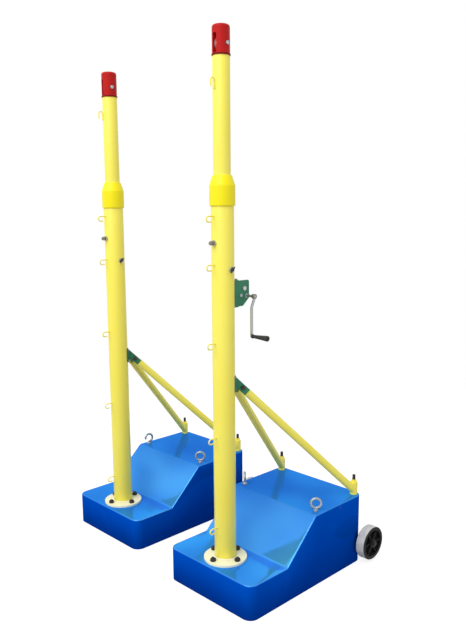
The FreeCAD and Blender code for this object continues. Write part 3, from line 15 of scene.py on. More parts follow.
import bpy
import numpy as np
from mathutils import Matrix, Vector


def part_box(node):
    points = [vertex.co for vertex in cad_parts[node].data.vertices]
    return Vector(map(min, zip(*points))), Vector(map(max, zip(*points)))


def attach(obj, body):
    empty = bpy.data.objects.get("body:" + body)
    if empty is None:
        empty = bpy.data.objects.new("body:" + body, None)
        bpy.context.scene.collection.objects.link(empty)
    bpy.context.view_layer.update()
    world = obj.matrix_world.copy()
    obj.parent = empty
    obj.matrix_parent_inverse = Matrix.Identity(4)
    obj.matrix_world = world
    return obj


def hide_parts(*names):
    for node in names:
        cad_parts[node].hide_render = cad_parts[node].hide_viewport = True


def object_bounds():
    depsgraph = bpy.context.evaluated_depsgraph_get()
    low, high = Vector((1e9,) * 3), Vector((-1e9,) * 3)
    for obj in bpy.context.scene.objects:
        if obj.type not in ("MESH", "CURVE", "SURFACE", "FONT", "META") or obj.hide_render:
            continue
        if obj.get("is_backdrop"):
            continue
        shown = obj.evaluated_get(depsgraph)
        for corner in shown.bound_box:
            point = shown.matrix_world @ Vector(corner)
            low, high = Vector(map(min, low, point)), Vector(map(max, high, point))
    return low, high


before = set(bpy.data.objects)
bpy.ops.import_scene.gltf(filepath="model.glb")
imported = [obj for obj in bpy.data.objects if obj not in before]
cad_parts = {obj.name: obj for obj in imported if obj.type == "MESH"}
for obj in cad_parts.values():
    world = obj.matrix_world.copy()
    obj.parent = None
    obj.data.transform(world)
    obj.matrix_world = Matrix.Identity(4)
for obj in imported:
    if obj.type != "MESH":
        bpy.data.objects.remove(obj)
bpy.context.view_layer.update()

Array = np.ndarray
Colour = tuple[float, float, float]
Node, Tree, Socket = bpy.types.Node, bpy.types.NodeTree, bpy.types.NodeSocket
MM = 0.001
DARK_SIDE = "unworn"
ROOT_BODY = "posts_and_bases"
UP = np.array([0.0, 0.0, 1.0])
LEFTWARD = np.array([0.0, 1.0, 0.0])
REARWARD = np.array([1.0, 0.0, 0.0])
log = logging.getLogger("net_posts")

# A hint closer to the Z axis than this cosine can't give the X axis.
NEARLY_ALONG = 0.99
# How far along its half ball a domed end goes before its flat cap.
BLUNT_TIP = 0.98
# A weld bead's section and its ripples, as shares of its leg.
BEAD_HOLLOW, BEAD_BULGE, BEAD_TOE, BEAD_SINK = 0.8, 0.12, 0.2, 0.15
BEAD_RIPPLE, BEAD_WAVE = 0.06, 0.55
# A thread's depth and its end's chamfer, as shares of its pitch, and its groove's share of that.
THREAD_DEPTH, THREAD_CHAMFER, THREAD_GROOVE = 0.6, 0.8, 0.9
# Rows of points to a thread's turn, and columns round a screw and round a hexagon.
THREAD_ROWS, SCREW_COLUMNS, HEX_COLUMNS = 6, 40, 72
# The cone that turns a hexagon's corners off: its depth and its top, as shares of the flats, and
# its slope.
CONE_START, CONE_TOP, CONE_SLOPE = 0.11, 0.97, 1.8
WHITE = (1.0, 1.0, 1.0, 1.0)
# The sockets of a Mix node that is set to colours.
MIX_SHARE, MIX_FIRST, MIX_SECOND, MIX_RESULT = 0, 6, 7, 2


class Post(Enum):
    """The two posts of the pair."""

    WINCH = "winch"
    PLAIN = "plain"

    def node(self, name: str) -> str:
        """This post's own node or body of a kind."""
        return f"{self.value}_{name}"

    def box(self, name: str) -> "Extent":
        """The box of this post's own node of a kind."""
        return Extent.of(self.node(name))

    @property
    def axis(self) -> Array:
        """Where the post stands on the floor."""
        middle = self.box("lower_tube").middle
        return np.array([middle[0], middle[1], 0.0])

    @property
    def base(self) -> "Extent":
        """The box of the post's base."""
        return self.box("base_shell")

    @property
    def mast_frame(self) -> Matrix:
        """The frame of the mast at its upper end, turned about its own axis as the mast is."""
        turn = math.radians(MAST_TURN[self.value])
        top = self.axis + UP * self.box("mast_tube").high[2]
        return lifted(top) @ Matrix.Rotation(turn, 4, "Z")


MAST_TURN = {"winch": 0.0, "plain": -14.0}


class Side(Enum):
    """The two sides of a post; left is towards +Y."""

    LEFT = 1
    RIGHT = -1

    @property
    def word(self) -> str:
        """The side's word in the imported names."""
        return self.name.lower()


@dataclass(frozen=True)
class Extent:
    """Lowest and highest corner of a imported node."""

    low: Array
    high: Array

    @classmethod
    def of(cls, node: str) -> "Extent":
        """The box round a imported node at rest."""
        low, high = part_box(node)
        return cls(np.array(low), np.array(high))

    @property
    def middle(self) -> Array:
        """Centre of the box."""
        return (self.low + self.high) / 2

    @property
    def size(self) -> Array:
        """Length of the box along each axis."""
        return self.high - self.low


@dataclass(frozen=True)
class Surface:
    """A mesh in arrays: its points, its four-sided faces and its three-sided ones."""

    points: Array
    quads: Array
    triangles: Array

    def moved(self, place: Matrix) -> "Surface":
        """The surface after a rigid move: each point is turned and then shifted.

        Args:
            place: the turn and shift.

        Returns:
            The moved surface.
        """
        matrix = np.array(place)
        points = self.points @ matrix[:3, :3].T + matrix[:3, 3]
        return Surface(points, self.quads, self.triangles)

    def outward(self) -> "Surface":
        """The same surface with its faces pointing out.

        The signed volume is a sixth of the sum, over all triangles, of the first corner dotted
        with the cross product of the other two. Where it is negative every face is turned round.

        Returns:
            The surface, turned where needed.
        """
        split = np.vstack([self.quads[:, [0, 1, 2]], self.quads[:, [0, 2, 3]], self.triangles])
        first, second, third = (self.points[split[:, k]] for k in range(3))
        if np.einsum("ij,ij->", first, np.cross(second, third)) >= 0:
            return self
        return Surface(self.points, self.quads[:, ::-1], self.triangles[:, ::-1])


def joined(surfaces: Sequence[Surface]) -> Surface:
    """Several surfaces as one mesh.

    Args:
        surfaces: what to join; they keep their own points.

    Returns:
        One surface whose faces count on from one surface's points to the next.
    """
    starts = np.cumsum([0] + [len(s.points) for s in surfaces[:-1]])
    return Surface(
        np.vstack([s.points for s in surfaces]),
        np.vstack([s.quads + start for s, start in zip(surfaces, starts)]),
        np.vstack([s.triangles + start for s, start in zip(surfaces, starts)]),
    )


def quads_between(index: Array, wrap_rows: bool = False, wrap_columns: bool = False) -> Array:
    """Faces between neighbouring rows and columns of a grid of point numbers.

    Args:
        index: point number at each row and column.
        wrap_rows: whether the last row joins the first.
        wrap_columns: whether the last column joins the first.

    Returns:
        Four point numbers for each face.
    """
    if wrap_rows:
        index = np.vstack([index, index[:1]])
    if wrap_columns:
        index = np.hstack([index, index[:, :1]])
    corners = [index[:-1, :-1], index[:-1, 1:], index[1:, 1:], index[1:, :-1]]
    return np.stack(corners, axis=-1).reshape(-1, 4)


def woven(grid: Array, wrap_rows: bool = False, capped: bool = False) -> Surface:
    """A surface through a grid of points whose columns close on themselves.

    Args:
        grid: points by row and column.
        wrap_rows: whether the last row joins the first, as on a ring.
        capped: whether the first and last row are closed by a fan from their centre.

    Returns:
        The surface, faces outward.
    """
    rows, columns = grid.shape[:2]
    points = grid.reshape(-1, 3)
    index = np.arange(rows * columns).reshape(rows, columns)
    quads = quads_between(index, wrap_rows, wrap_columns=True)
    triangles = np.empty((0, 3), int)
    if capped:
        ring, following = index[0], np.roll(index[0], -1)
        end = (rows - 1) * columns
        hubs = np.full(columns, len(points))
        points = np.vstack([points, grid[0].mean(axis=0), grid[-1].mean(axis=0)])
        start_fan = np.column_stack([following, ring, hubs])
        end_fan = np.column_stack([ring + end, following + end, hubs + 1])
        triangles = np.vstack([start_fan, end_fan])
    return Surface(points, quads, triangles).outward()


def points_of(*parts: Array) -> Array:
    """Points from their parts: the first array holds their first part, and so on."""
    return np.stack(parts, axis=-1)


def full_turn(count: int) -> Array:
    """Angles of a full turn in even steps, the last one a step short of the first."""
    return np.linspace(0, 2 * math.pi, count, endpoint=False)


def level_arms(angle: Array) -> Array:
    """Level directions of length one at some angles about Z."""
    return points_of(np.cos(angle), np.sin(angle), np.zeros_like(angle))


def turned(profile: Array, around: int = 96, ring: bool = True) -> Surface:
    """A profile of (radius, height) pairs carried round the Z axis.

    At angle a the point of a pair is (radius cos a, radius sin a, height).

    Args:
        profile: the pairs, in order.
        around: how many columns make the full turn.
        ring: True for a closed profile, such as a tube's wall; False for one capped at both ends.

    Returns:
        The turned surface.
    """
    angle = full_turn(around)
    radius, height = np.asarray(profile).T
    across = np.outer(radius, np.cos(angle))
    along = np.outer(radius, np.sin(angle))
    grid = points_of(across, along, np.outer(height, np.ones(around)))
    return woven(grid, wrap_rows=ring, capped=not ring)


def rounded(corners: Sequence[tuple[float, float, float]], steps: int = 6,
            closed: bool = True) -> Array:
    """An outline whose corners are arcs tangent to both of their sides.

    An arc of radius r in a corner of angle a starts r / tan(a / 2) from the corner, and its centre
    is r / sin(a / 2) away on the bisector. Between its ends the arm from the centre turns evenly.

    Args:
        corners: (across, up, radius) of each corner; radius 0 keeps it sharp.
        steps: spans of each arc.
        closed: whether the outline closes; the two ends of an open one stay sharp.

    Returns:
        The outline's points.
    """
    spots = np.array([corner[:2] for corner in corners], float)
    count = len(spots)
    pieces = []
    for number, (spot, (_, _, radius)) in enumerate(zip(spots, corners)):
        end = not closed and number in (0, count - 1)
        if radius == 0 or end:
            pieces.append(spot[None])
            continue
        before = unit(spots[number - 1] - spot)
        after = unit(spots[(number + 1) % count] - spot)
        angle = math.acos(float(np.clip(before @ after, -1, 1)))
        centre = spot + unit(before + after) * radius / math.sin(angle / 2)
        start = spot + before * radius / math.tan(angle / 2) - centre
        stop = spot + after * radius / math.tan(angle / 2) - centre
        sweep = math.pi - angle
        share = np.linspace(0, 1, steps + 1)[:, None]
        arm = (np.sin((1 - share) * sweep) * start + np.sin(share * sweep) * stop) / math.sin(sweep)
        pieces.append(centre + arm)
    return np.vstack(pieces)


def unit(vector: Array) -> Array:
    """Vectors of length one along the last axis."""
    return vector / np.linalg.norm(vector, axis=-1, keepdims=True)


def carried(section: Array, path: Array, across: Array, up: Array, swell: Array | float = 1.0,
            loop: bool = False) -> Surface:
    """A flat section carried along a path.

    At each point of the path a section point (a, b) lies at path + swell a across + swell b up.
    A swell of two columns scales a and b each by its own.

    Args:
        section: closed outline of (a, b) pairs.
        path: points of the path.
        across: direction of a at each point of the path, or one for all.
        up: direction of b, likewise.
        swell: how much larger the section is at each point of the path.
        loop: whether the path closes.

    Returns:
        The carried surface, capped at the ends of an open path.
    """
    count = len(path)
    across = np.broadcast_to(across, (count, 3))[:, None]
    up = np.broadcast_to(up, (count, 3))[:, None]
    scale = np.asarray(swell, float)
    if scale.ndim < 2:
        scale = np.repeat(np.broadcast_to(scale, (count,))[:, None], 2, axis=1)
    a = scale[:, :1, None] * section[None, :, 0, None]
    b = scale[:, 1:, None] * section[None, :, 1, None]
    grid = path[:, None] + a * across + b * up
    return woven(grid, wrap_rows=loop, capped=not loop)


def circle(radius: float, count: int = 16) -> Array:
    """Points evenly round a circle."""
    angle = full_turn(count)
    return radius * points_of(np.cos(angle), np.sin(angle))


def domed(left: Array, radius: float) -> Array:
    """How large a bar's section is near an end that closes as a half ball.

    Args:
        left: how far each place is from the end.
        radius: the bar's radius.

    Returns:
        The section's share of its full size, never quite nothing.
    """
    return np.sqrt(np.clip(1 - np.clip(1 - left / radius, 0, BLUNT_TIP) ** 2, 0, 1))


def weld_bead(path: Array, first: Array, second: Array, leg: float, loop: bool = False) -> Surface:
    """A fillet weld along the line where two surfaces meet.

    The bead climbs the first surface on the side that the second one faces, and lies on the
    second one on the side that the first one faces. Both directions are square to the line. The
    section is a quarter round whose square corner lies in the joint. Its size swells and shrinks
    by an eighth in short, even ripples, as a bead laid by hand does.

    Args:
        path: the line, as points.
        first: outward normal of the first surface at each point, or one for all.
        second: the same for the second surface.
        leg: size of the fillet.
        loop: whether the line closes.

    Returns:
        The bead.
    """
    first, second = (np.broadcast_to(normal, path.shape) for normal in (first, second))
    if loop:
        tangent = unit(np.roll(path, -1, axis=0) - np.roll(path, 1, axis=0))
    else:
        tangent = unit(np.gradient(path, axis=0))
    wall = unit(np.cross(first, tangent))
    wall *= np.sign(np.einsum("ij,ij->i", wall, second))[:, None]
    plate = unit(np.cross(second, tangent))
    plate *= np.sign(np.einsum("ij,ij->i", plate, first))[:, None]
    angle = np.linspace(0, math.pi / 2, 7)
    arc = leg * (1 - BEAD_HOLLOW * points_of(np.sin(angle), np.cos(angle)))
    bulge = leg * BEAD_BULGE * np.sin(2 * angle)[:, None]
    toe, sunk = BEAD_TOE * leg, -BEAD_SINK * leg
    section = np.vstack([arc + bulge, [[toe, sunk], [sunk, sunk], [sunk, toe]]])
    steps = np.linalg.norm(np.diff(path, axis=0), axis=1)
    travel = np.concatenate([[0], np.cumsum(steps)])
    wave = np.cos(2 * math.pi * travel / (BEAD_WAVE * leg))
    return carried(section, path, wall, plate, 1 - BEAD_RIPPLE + BEAD_RIPPLE * wave, loop)


def placed(point: Array, z_axis: Array, x_axis: Array | None = None) -> Matrix:
    """A frame at a point whose Z runs along a direction.

    Args:
        point: where its origin goes.
        z_axis: direction of its Z.
        x_axis: rough direction of its X; the nearest direction square to Z is taken.

    Returns:
        The frame.
    """
    z = unit(np.asarray(z_axis, float))
    hint = REARWARD if x_axis is None else np.asarray(x_axis, float)
    if abs(unit(hint) @ z) > NEARLY_ALONG:
        hint = LEFTWARD
    y = unit(np.cross(z, hint))
    return frame_of(np.cross(y, z), y, z, point)


def frame_of(x_axis: Array, y_axis: Array, z_axis: Array, point: Array) -> Matrix:
    """The frame with these axes at a point."""
    matrix = np.eye(4)
    matrix[:3] = np.column_stack([x_axis, y_axis, z_axis, point])
    return Matrix(matrix.tolist())


def lifted(point: Array) -> Matrix:
    """A plain shift to a point."""
    return Matrix.Translation(Vector(np.asarray(point, float).tolist()))


def srgb(red: int, green: int, blue: int) -> Colour:
    """A colour of three screen levels, 0 to 255, as linear light.

    Args:
        red: red level.
        green: green level.
        blue: blue level.

    Returns:
        Linear red, green and blue.
    """
    levels = np.array([red, green, blue]) / 255
    linear = np.where(levels <= 0.04045, levels / 12.92, ((levels + 0.055) / 1.055) ** 2.4)
    return tuple(float(value) for value in linear)


class Graph:
    """A node tree and short ways to add nodes to it."""

    def __init__(self, tree: Tree) -> None:
        """Takes the tree to add to."""
        self.tree = tree

    def node(self, kind: str, **settings: object) -> Node:
        """Adds a node.

        Args:
            kind: the node's type name.
            settings: properties to set on it.

        Returns:
            The new node.
        """
        made = self.tree.nodes.new(kind)
        for name, value in settings.items():
            setattr(made, name, value)
        return made

    def feed(self, socket: Socket, value: object) -> None:
        """Links a socket to another one, or sets it to a plain value.

        Args:
            socket: the input to feed.
            value: an output socket, a number or a colour.
        """
        if isinstance(value, Socket):
            self.tree.links.new(value, socket)
        elif isinstance(value, tuple) and socket.type == "RGBA":
            socket.default_value = (*value, 1.0)
        else:
            socket.default_value = value

    def maths(self, operation: str, *values: object, clamped: bool = False) -> Socket:
        """Adds a Math node.

        Args:
            operation: its operation.
            values: its inputs, sockets or numbers.
            clamped: whether the result is kept between 0 and 1.

        Returns:
            Its result.
        """
        made = self.node("ShaderNodeMath", operation=operation, use_clamp=clamped)
        for socket, value in zip(made.inputs, values):
            self.feed(socket, value)
        return made.outputs[0]

    def between(self, value: object, low: float, high: float, to_low: float = 0.0,
                to_high: float = 1.0) -> Socket:
        """Rescales a value from one range to another, with soft ends.

        Args:
            value: what to rescale.
            low: value that gives to_low.
            high: value that gives to_high.
            to_low: result at and beyond low.
            to_high: result at and beyond high.

        Returns:
            The rescaled value.
        """
        made = self.node("ShaderNodeMapRange", interpolation_type="SMOOTHSTEP")
        limits = {"From Min": low, "From Max": high, "To Min": to_low, "To Max": to_high}
        for name, number in limits.items():
            made.inputs[name].default_value = number
        self.feed(made.inputs["Value"], value)
        return made.outputs["Result"]

    def blend(self, share: object, first: object, second: object) -> Socket:
        """Mixes two colours.

        Args:
            share: how much of the second.
            first: colour at share 0.
            second: colour at share 1.

        Returns:
            The mixed colour.
        """
        made = self.node("ShaderNodeMix", data_type="RGBA")
        self.feed(made.inputs[MIX_SHARE], share)
        self.feed(made.inputs[MIX_FIRST], first)
        self.feed(made.inputs[MIX_SECOND], second)
        return made.outputs[MIX_RESULT]

    def places(self, stretch: tuple[float, float, float] = (1.0, 1.0, 1.0)) -> Socket:
        """Object coordinates, stretched along each axis.

        Args:
            stretch: scale of the pattern along X, Y and Z.

        Returns:
            The coordinates.
        """
        spot = self.node("ShaderNodeTexCoord").outputs["Object"]
        mapping = self.node("ShaderNodeMapping")
        mapping.inputs["Scale"].default_value = stretch
        self.feed(mapping.inputs["Vector"], spot)
        return mapping.outputs["Vector"]

    def upward(self, vector: object) -> Socket:
        """A vector's part along Z."""
        split = self.node("ShaderNodeSeparateXYZ")
        self.feed(split.inputs[0], vector)
        return split.outputs["Z"]

    def facing_up(self) -> Socket:
        """How far the surface looks up: 1 on a level top, 0 on a wall, -1 from below."""
        return self.upward(self.node("ShaderNodeNewGeometry").outputs["Normal"])

    def seen(self) -> Socket:
        """1 for rays from the camera, a reflection or a clear surface, 0 for plain light."""
        path = self.node("ShaderNodeLightPath")
        seen = self.maths("MAXIMUM", path.outputs["Is Camera Ray"], path.outputs["Is Glossy Ray"])
        return self.maths("MAXIMUM", seen, path.outputs["Is Transmission Ray"])

    def noise(self, where: object, scale: object, detail: float = 3.0) -> Socket:
        """Smooth noise.

        Args:
            where: coordinates.
            scale: cells to the metre.
            detail: octaves.

        Returns:
            Its level, 0 to 1.
        """
        made = self.node("ShaderNodeTexNoise")
        made.inputs["Detail"].default_value = detail
        self.feed(made.inputs["Vector"], where)
        self.feed(made.inputs["Scale"], scale)
        return made.outputs["Fac"]

    def effect(self, tree: Tree, **values: object) -> Socket:
        """Places a shared effect.

        Args:
            tree: the effect's node group.
            values: its inputs by name, with underscores for spaces.

        Returns:
            Its one output.
        """
        made = self.node("ShaderNodeGroup", node_tree=tree)
        for name, value in values.items():
            self.feed(made.inputs[name.replace("_", " ")], value)
        return made.outputs[0]


class Effects:
    """Node groups that several finishes share, each built once."""

    @staticmethod
    def _start(name: str, inputs: dict[str, float],
               output: str) -> tuple[Graph, dict[str, Socket]]:
        """An empty group with its sockets.

        Args:
            name: the group's name.
            inputs: its number inputs and their usual values.
            output: its one output.

        Returns:
            A graph on the group and its input sockets by name.
        """
        tree = bpy.data.node_groups.new(name, "ShaderNodeTree")
        for label, value in inputs.items():
            socket = tree.interface.new_socket(
                name=label, in_out="INPUT", socket_type="NodeSocketFloat")
            socket.default_value = value
        tree.interface.new_socket(name=output, in_out="OUTPUT", socket_type="NodeSocketFloat")
        graph = Graph(tree)
        entry = graph.node("NodeGroupInput")
        return graph, {label: entry.outputs[label] for label in inputs}

    @staticmethod
    def _end(graph: Graph, value: Socket) -> Tree:
        """Feeds a group's output and gives the group back."""
        graph.feed(graph.node("NodeGroupOutput").inputs[0], value)
        return graph.tree

    @classmethod
    @cache
    def ripple(cls) -> Tree:
        """Height of the fine, even ripple of a sprayed coat over a slower wave of the metal."""
        graph, inputs = cls._start("paint_ripple", {"Cells": 260.0}, "Height")
        where = graph.places()
        fine = graph.noise(where, inputs["Cells"], detail=1.0)
        slow = graph.noise(where, scale=9.0, detail=1.0)
        return cls._end(graph, graph.maths("ADD", fine, graph.maths("MULTIPLY", slow, 2.0)))

    @classmethod
    @cache
    def dust(cls) -> Tree:
        """Share of settled dust: faces that look up, patchy, and gathered near the floor."""
        graph, inputs = cls._start("settled_dust", {"Amount": 0.3, "Cells": 14.0}, "Mask")
        level = graph.between(graph.facing_up(), low=0.2, high=1.0)
        cloud = graph.noise(graph.places(), inputs["Cells"], detail=5.0)
        patchy = graph.between(cloud, low=0.35, high=0.7)
        share = graph.maths("MULTIPLY", level, patchy)
        return cls._end(graph, graph.maths("MULTIPLY", share, inputs["Amount"]))

    @classmethod
    @cache
    def bleach(cls) -> Tree:
        """Share of painted highlight and reflection: faces that look up, patchy, less on the high
        rear.
        """
        graph, inputs = cls._start("sun_bleach", {"Cells": 2.6}, "Mask")
        level = graph.between(graph.facing_up(), low=0.15, high=0.8)
        height = graph.upward(graph.places())
        kept = graph.between(height, low=0.28, high=0.37, to_low=1.0, to_high=0.7)
        cloud = graph.noise(graph.places(), inputs["Cells"], detail=1.0)
        broad = graph.between(cloud, low=0.3, high=0.7, to_low=0.5)
        return cls._end(graph, graph.maths("MULTIPLY", graph.maths("MULTIPLY", level, broad), kept))

    @classmethod
    @cache
    def floor_dirt(cls) -> Tree:
        """Share of the dirt that is splashed up from the floor, uneven along its upper edge."""
        graph, inputs = cls._start("floor_dirt", {"Amount": 0.4, "Height": 0.06}, "Mask")
        where = graph.places()
        splash = graph.maths("MULTIPLY", inputs["Height"], 1.4)
        uneven = graph.maths("MULTIPLY", graph.noise(where, scale=24.0, detail=4.0), splash)
        above = graph.maths("SUBTRACT", uneven, graph.upward(where))
        reach = graph.maths("MAXIMUM", graph.maths("DIVIDE", above, inputs["Height"]), 0.0)
        return cls._end(graph, graph.maths("MULTIPLY", reach, inputs["Amount"], clamped=True))

    @classmethod
    @cache
    def scratches(cls) -> Tree:
        """Share of hairline scratches: thin level lines of a stretched noise, in a few patches."""
        graph, inputs = cls._start("hairline_scratches", {"Amount": 0.3, "Width": 0.004}, "Mask")
        lines = graph.noise(graph.places((60.0, 60.0, 9.0)), scale=1.0, detail=2.0)
        gap = graph.maths("ABSOLUTE", graph.maths("SUBTRACT", lines, 0.5))
        thin = graph.maths("LESS_THAN", gap, inputs["Width"])
        cloud = graph.noise(graph.places(), scale=7.0, detail=2.0)
        patch = graph.between(cloud, low=0.56, high=0.68)
        share = graph.maths("MULTIPLY", thin, patch)
        return cls._end(graph, graph.maths("MULTIPLY", share, inputs["Amount"]))

    @classmethod
    @cache
    def chips(cls) -> Tree:
        """Share of small chips: round spots of a cell pattern that only some patches keep."""
        graph, inputs = cls._start("paint_chips", {"Cells": 90.0, "Size": 0.09}, "Mask")
        cells = graph.node("ShaderNodeTexVoronoi")
        graph.feed(cells.inputs["Vector"], graph.places())
        graph.feed(cells.inputs["Scale"], inputs["Cells"])
        edge = graph.noise(graph.places(), scale=420.0, detail=2.0)
        ragged = graph.maths("MULTIPLY", edge, 0.12)
        spot = graph.maths("LESS_THAN", graph.maths("ADD", cells.outputs["Distance"], ragged),
                           graph.maths("ADD", inputs["Size"], 0.06))
        cloud = graph.noise(graph.places(), scale=11.0, detail=2.0)
        patch = graph.maths("GREATER_THAN", cloud, 0.64)
        return cls._end(graph, graph.maths("MULTIPLY", spot, patch))

    @classmethod
    @cache
    def grain(cls) -> Tree:
        """Height of a fine pebbled grain, such as cast metal, rubber or a moulding has."""
        graph, inputs = cls._start("fine_grain", {"Cells": 700.0}, "Height")
        cells = graph.node("ShaderNodeTexVoronoi", feature="SMOOTH_F1")
        graph.feed(cells.inputs["Vector"], graph.places())
        graph.feed(cells.inputs["Scale"], inputs["Cells"])
        coarse = graph.maths("MULTIPLY", inputs["Cells"], 0.4)
        cloud = graph.noise(graph.places(), coarse, detail=4.0)
        return cls._end(graph, graph.maths("ADD", cells.outputs["Distance"], cloud))

    @classmethod
    @cache
    def mottle(cls) -> Tree:
        """Slow change of tone over a surface, 0 to 1."""
        graph, inputs = cls._start("slow_mottle", {"Cells": 5.0}, "Share")
        cloud = graph.noise(graph.places(), inputs["Cells"], detail=4.0)
        return cls._end(graph, graph.between(cloud, low=0.3, high=0.7))


@dataclass(frozen=True)
class Finish:
    """What every finish shares: its name, two close tones and a material made once."""

    name: str
    tone: Colour
    deep: Colour

    def material(self) -> bpy.types.Material:
        """The finish's material, made at its first use.

        Returns:
            The material.
        """
        name = f"{self.name}_finish"
        known = bpy.data.materials.get(name)
        if known:
            return known
        made = bpy.data.materials.new(name)
        made.use_nodes = True
        graph = Graph(made.node_tree)
        shader = made.node_tree.nodes["Principled BSDF"]
        self.paint(graph, shader)
        return made

    def paint(self, graph: Graph, shader: Node) -> None:
        """Feeds the shader; each finish has its own."""
        raise NotImplementedError

    @staticmethod
    def coat(graph: Graph, shader: Node, tone: Socket, rough: Socket, height: Socket,
             depth: float, strength: float) -> None:
        """Feeds the shader's colour and roughness, and its normal from a height.

        Args:
            graph: the material's graph.
            shader: its shader.
            tone: the colour.
            rough: the roughness.
            height: the height, 0 to about 1.
            depth: metres that a height of 1 stands for.
            strength: how much of it shows.
        """
        graph.feed(shader.inputs["Base Color"], tone)
        graph.feed(shader.inputs["Roughness"], rough)
        node = graph.node("ShaderNodeBump")
        node.inputs["Distance"].default_value = depth
        node.inputs["Strength"].default_value = strength
        graph.feed(node.inputs["Height"], height)
        graph.feed(shader.inputs["Normal"], node.outputs["Normal"])


@dataclass(frozen=True)
class Enamel(Finish):
    """Sprayed enamel on steel, with its ripple, dust, floor dirt, hairlines and small chips.

    Reflectance, dust, dirt, wear and metal are shares from 0 to 1. A coat with a highlight tone
    takes it on where it looks up, as a painted highlight and reflection, and there its metallic
    share grows from least_metal by metal.
    """

    roughness: float = 0.22
    reflectance: float = 0.5
    sheen_tone: Colour = (1.0, 1.0, 1.0)
    dust: float = 0.10
    dirt: float = 0.25
    wear: float = 0.25
    dust_tone: Colour = srgb(196, 194, 186)
    dirt_tone: Colour = srgb(92, 84, 72)
    primer: Colour = srgb(118, 116, 112)
    bleached: Colour | None = None
    metal: float = 0.0
    least_metal: float = 0.1
    tone_cells: float = 3.0
    gloss_cells: float = 17.0
    gloss_drift: float = 0.06
    dulling: float = 0.5
    ripple_depth: float = 0.1 * MM
    ripple_strength: float = 0.35

    def paint(self, graph: Graph, shader: Node) -> None:
        """Base tone, painted highlight where it looks up, then hairlines, chips, floor dirt and
        dust.
        """
        cloud = graph.effect(Effects.mottle(), Cells=self.tone_cells)
        base = graph.blend(cloud, self.deep, self.tone)
        # Painted highlight: faces that look up take a lighter tone and more metal, for the light
        # and reflections on the tops.
        if self.bleached:
            up = graph.effect(Effects.bleach())
            base = graph.blend(up, base, self.bleached)
            metal = graph.maths("MULTIPLY_ADD", up, self.metal, self.least_metal)
            graph.feed(shader.inputs["Metallic"], metal)
        hair = graph.effect(Effects.scratches(), Amount=self.wear)
        chips = graph.maths("MULTIPLY", graph.effect(Effects.chips()), self.wear)
        dirt = graph.effect(Effects.floor_dirt(), Amount=self.dirt)
        dust = graph.effect(Effects.dust(), Amount=self.dust)
        base = graph.blend(hair, base, self.dust_tone)
        base = graph.blend(chips, base, self.primer)
        base = graph.blend(dirt, base, self.dirt_tone)
        base = graph.blend(dust, base, self.dust_tone)
        dull = graph.maths("MAXIMUM", graph.maths("ADD", dirt, dust), hair)
        rough = graph.maths("MULTIPLY_ADD", dull, self.dulling, self.roughness)
        cloud = graph.effect(Effects.mottle(), Cells=self.gloss_cells)
        drift = graph.maths("MULTIPLY", cloud, self.gloss_drift)
        rough = graph.maths("ADD", rough, drift, clamped=True)
        shader.inputs["Specular IOR Level"].default_value = self.reflectance
        shader.inputs["Specular Tint"].default_value = (*self.sheen_tone, 1.0)
        height = graph.effect(Effects.ripple())
        self.coat(graph, shader, base, rough, height, self.ripple_depth, self.ripple_strength)


@dataclass(frozen=True)
class BareSteel(Finish):
    """Plated or blackened steel, with a mottled gloss and a trace of dull patches."""

    roughness: float = 0.32
    metal: float = 1.0
    cells: float = 160.0
    rust: float = 0.0
    rust_tone: Colour = srgb(112, 66, 40)
    rust_cells: float = 22.0
    patchiness: float = 0.7
    gloss_drift: float = 0.12
    rust_cover: float = 0.8
    rust_dulling: float = 0.4
    grain_cells: float = 900.0
    grain_depth: float = 0.08 * MM
    grain_strength: float = 0.3

    def paint(self, graph: Graph, shader: Node) -> None:
        """Two tones of metal in small cells, rust in the dull patches, and a brushed grain."""
        cells = graph.effect(Effects.mottle(), Cells=self.cells)
        cloud = graph.effect(Effects.mottle(), Cells=self.rust_cells)
        patches = graph.maths("MULTIPLY", cells, self.patchiness)
        base = graph.blend(patches, self.tone, self.deep)
        rusty = graph.maths("MULTIPLY", graph.between(cloud, low=0.72, high=0.98), self.rust)
        base = graph.blend(rusty, base, self.rust_tone)
        bare = graph.maths("MULTIPLY_ADD", rusty, -self.rust_cover, self.metal, clamped=True)
        graph.feed(shader.inputs["Metallic"], bare)
        rough = graph.maths("MULTIPLY_ADD", cells, self.gloss_drift, self.roughness)
        rough = graph.maths("MULTIPLY_ADD", rusty, self.rust_dulling, rough, clamped=True)
        height = graph.effect(Effects.grain(), Cells=self.grain_cells)
        self.coat(graph, shader, base, rough, height, self.grain_depth, self.grain_strength)


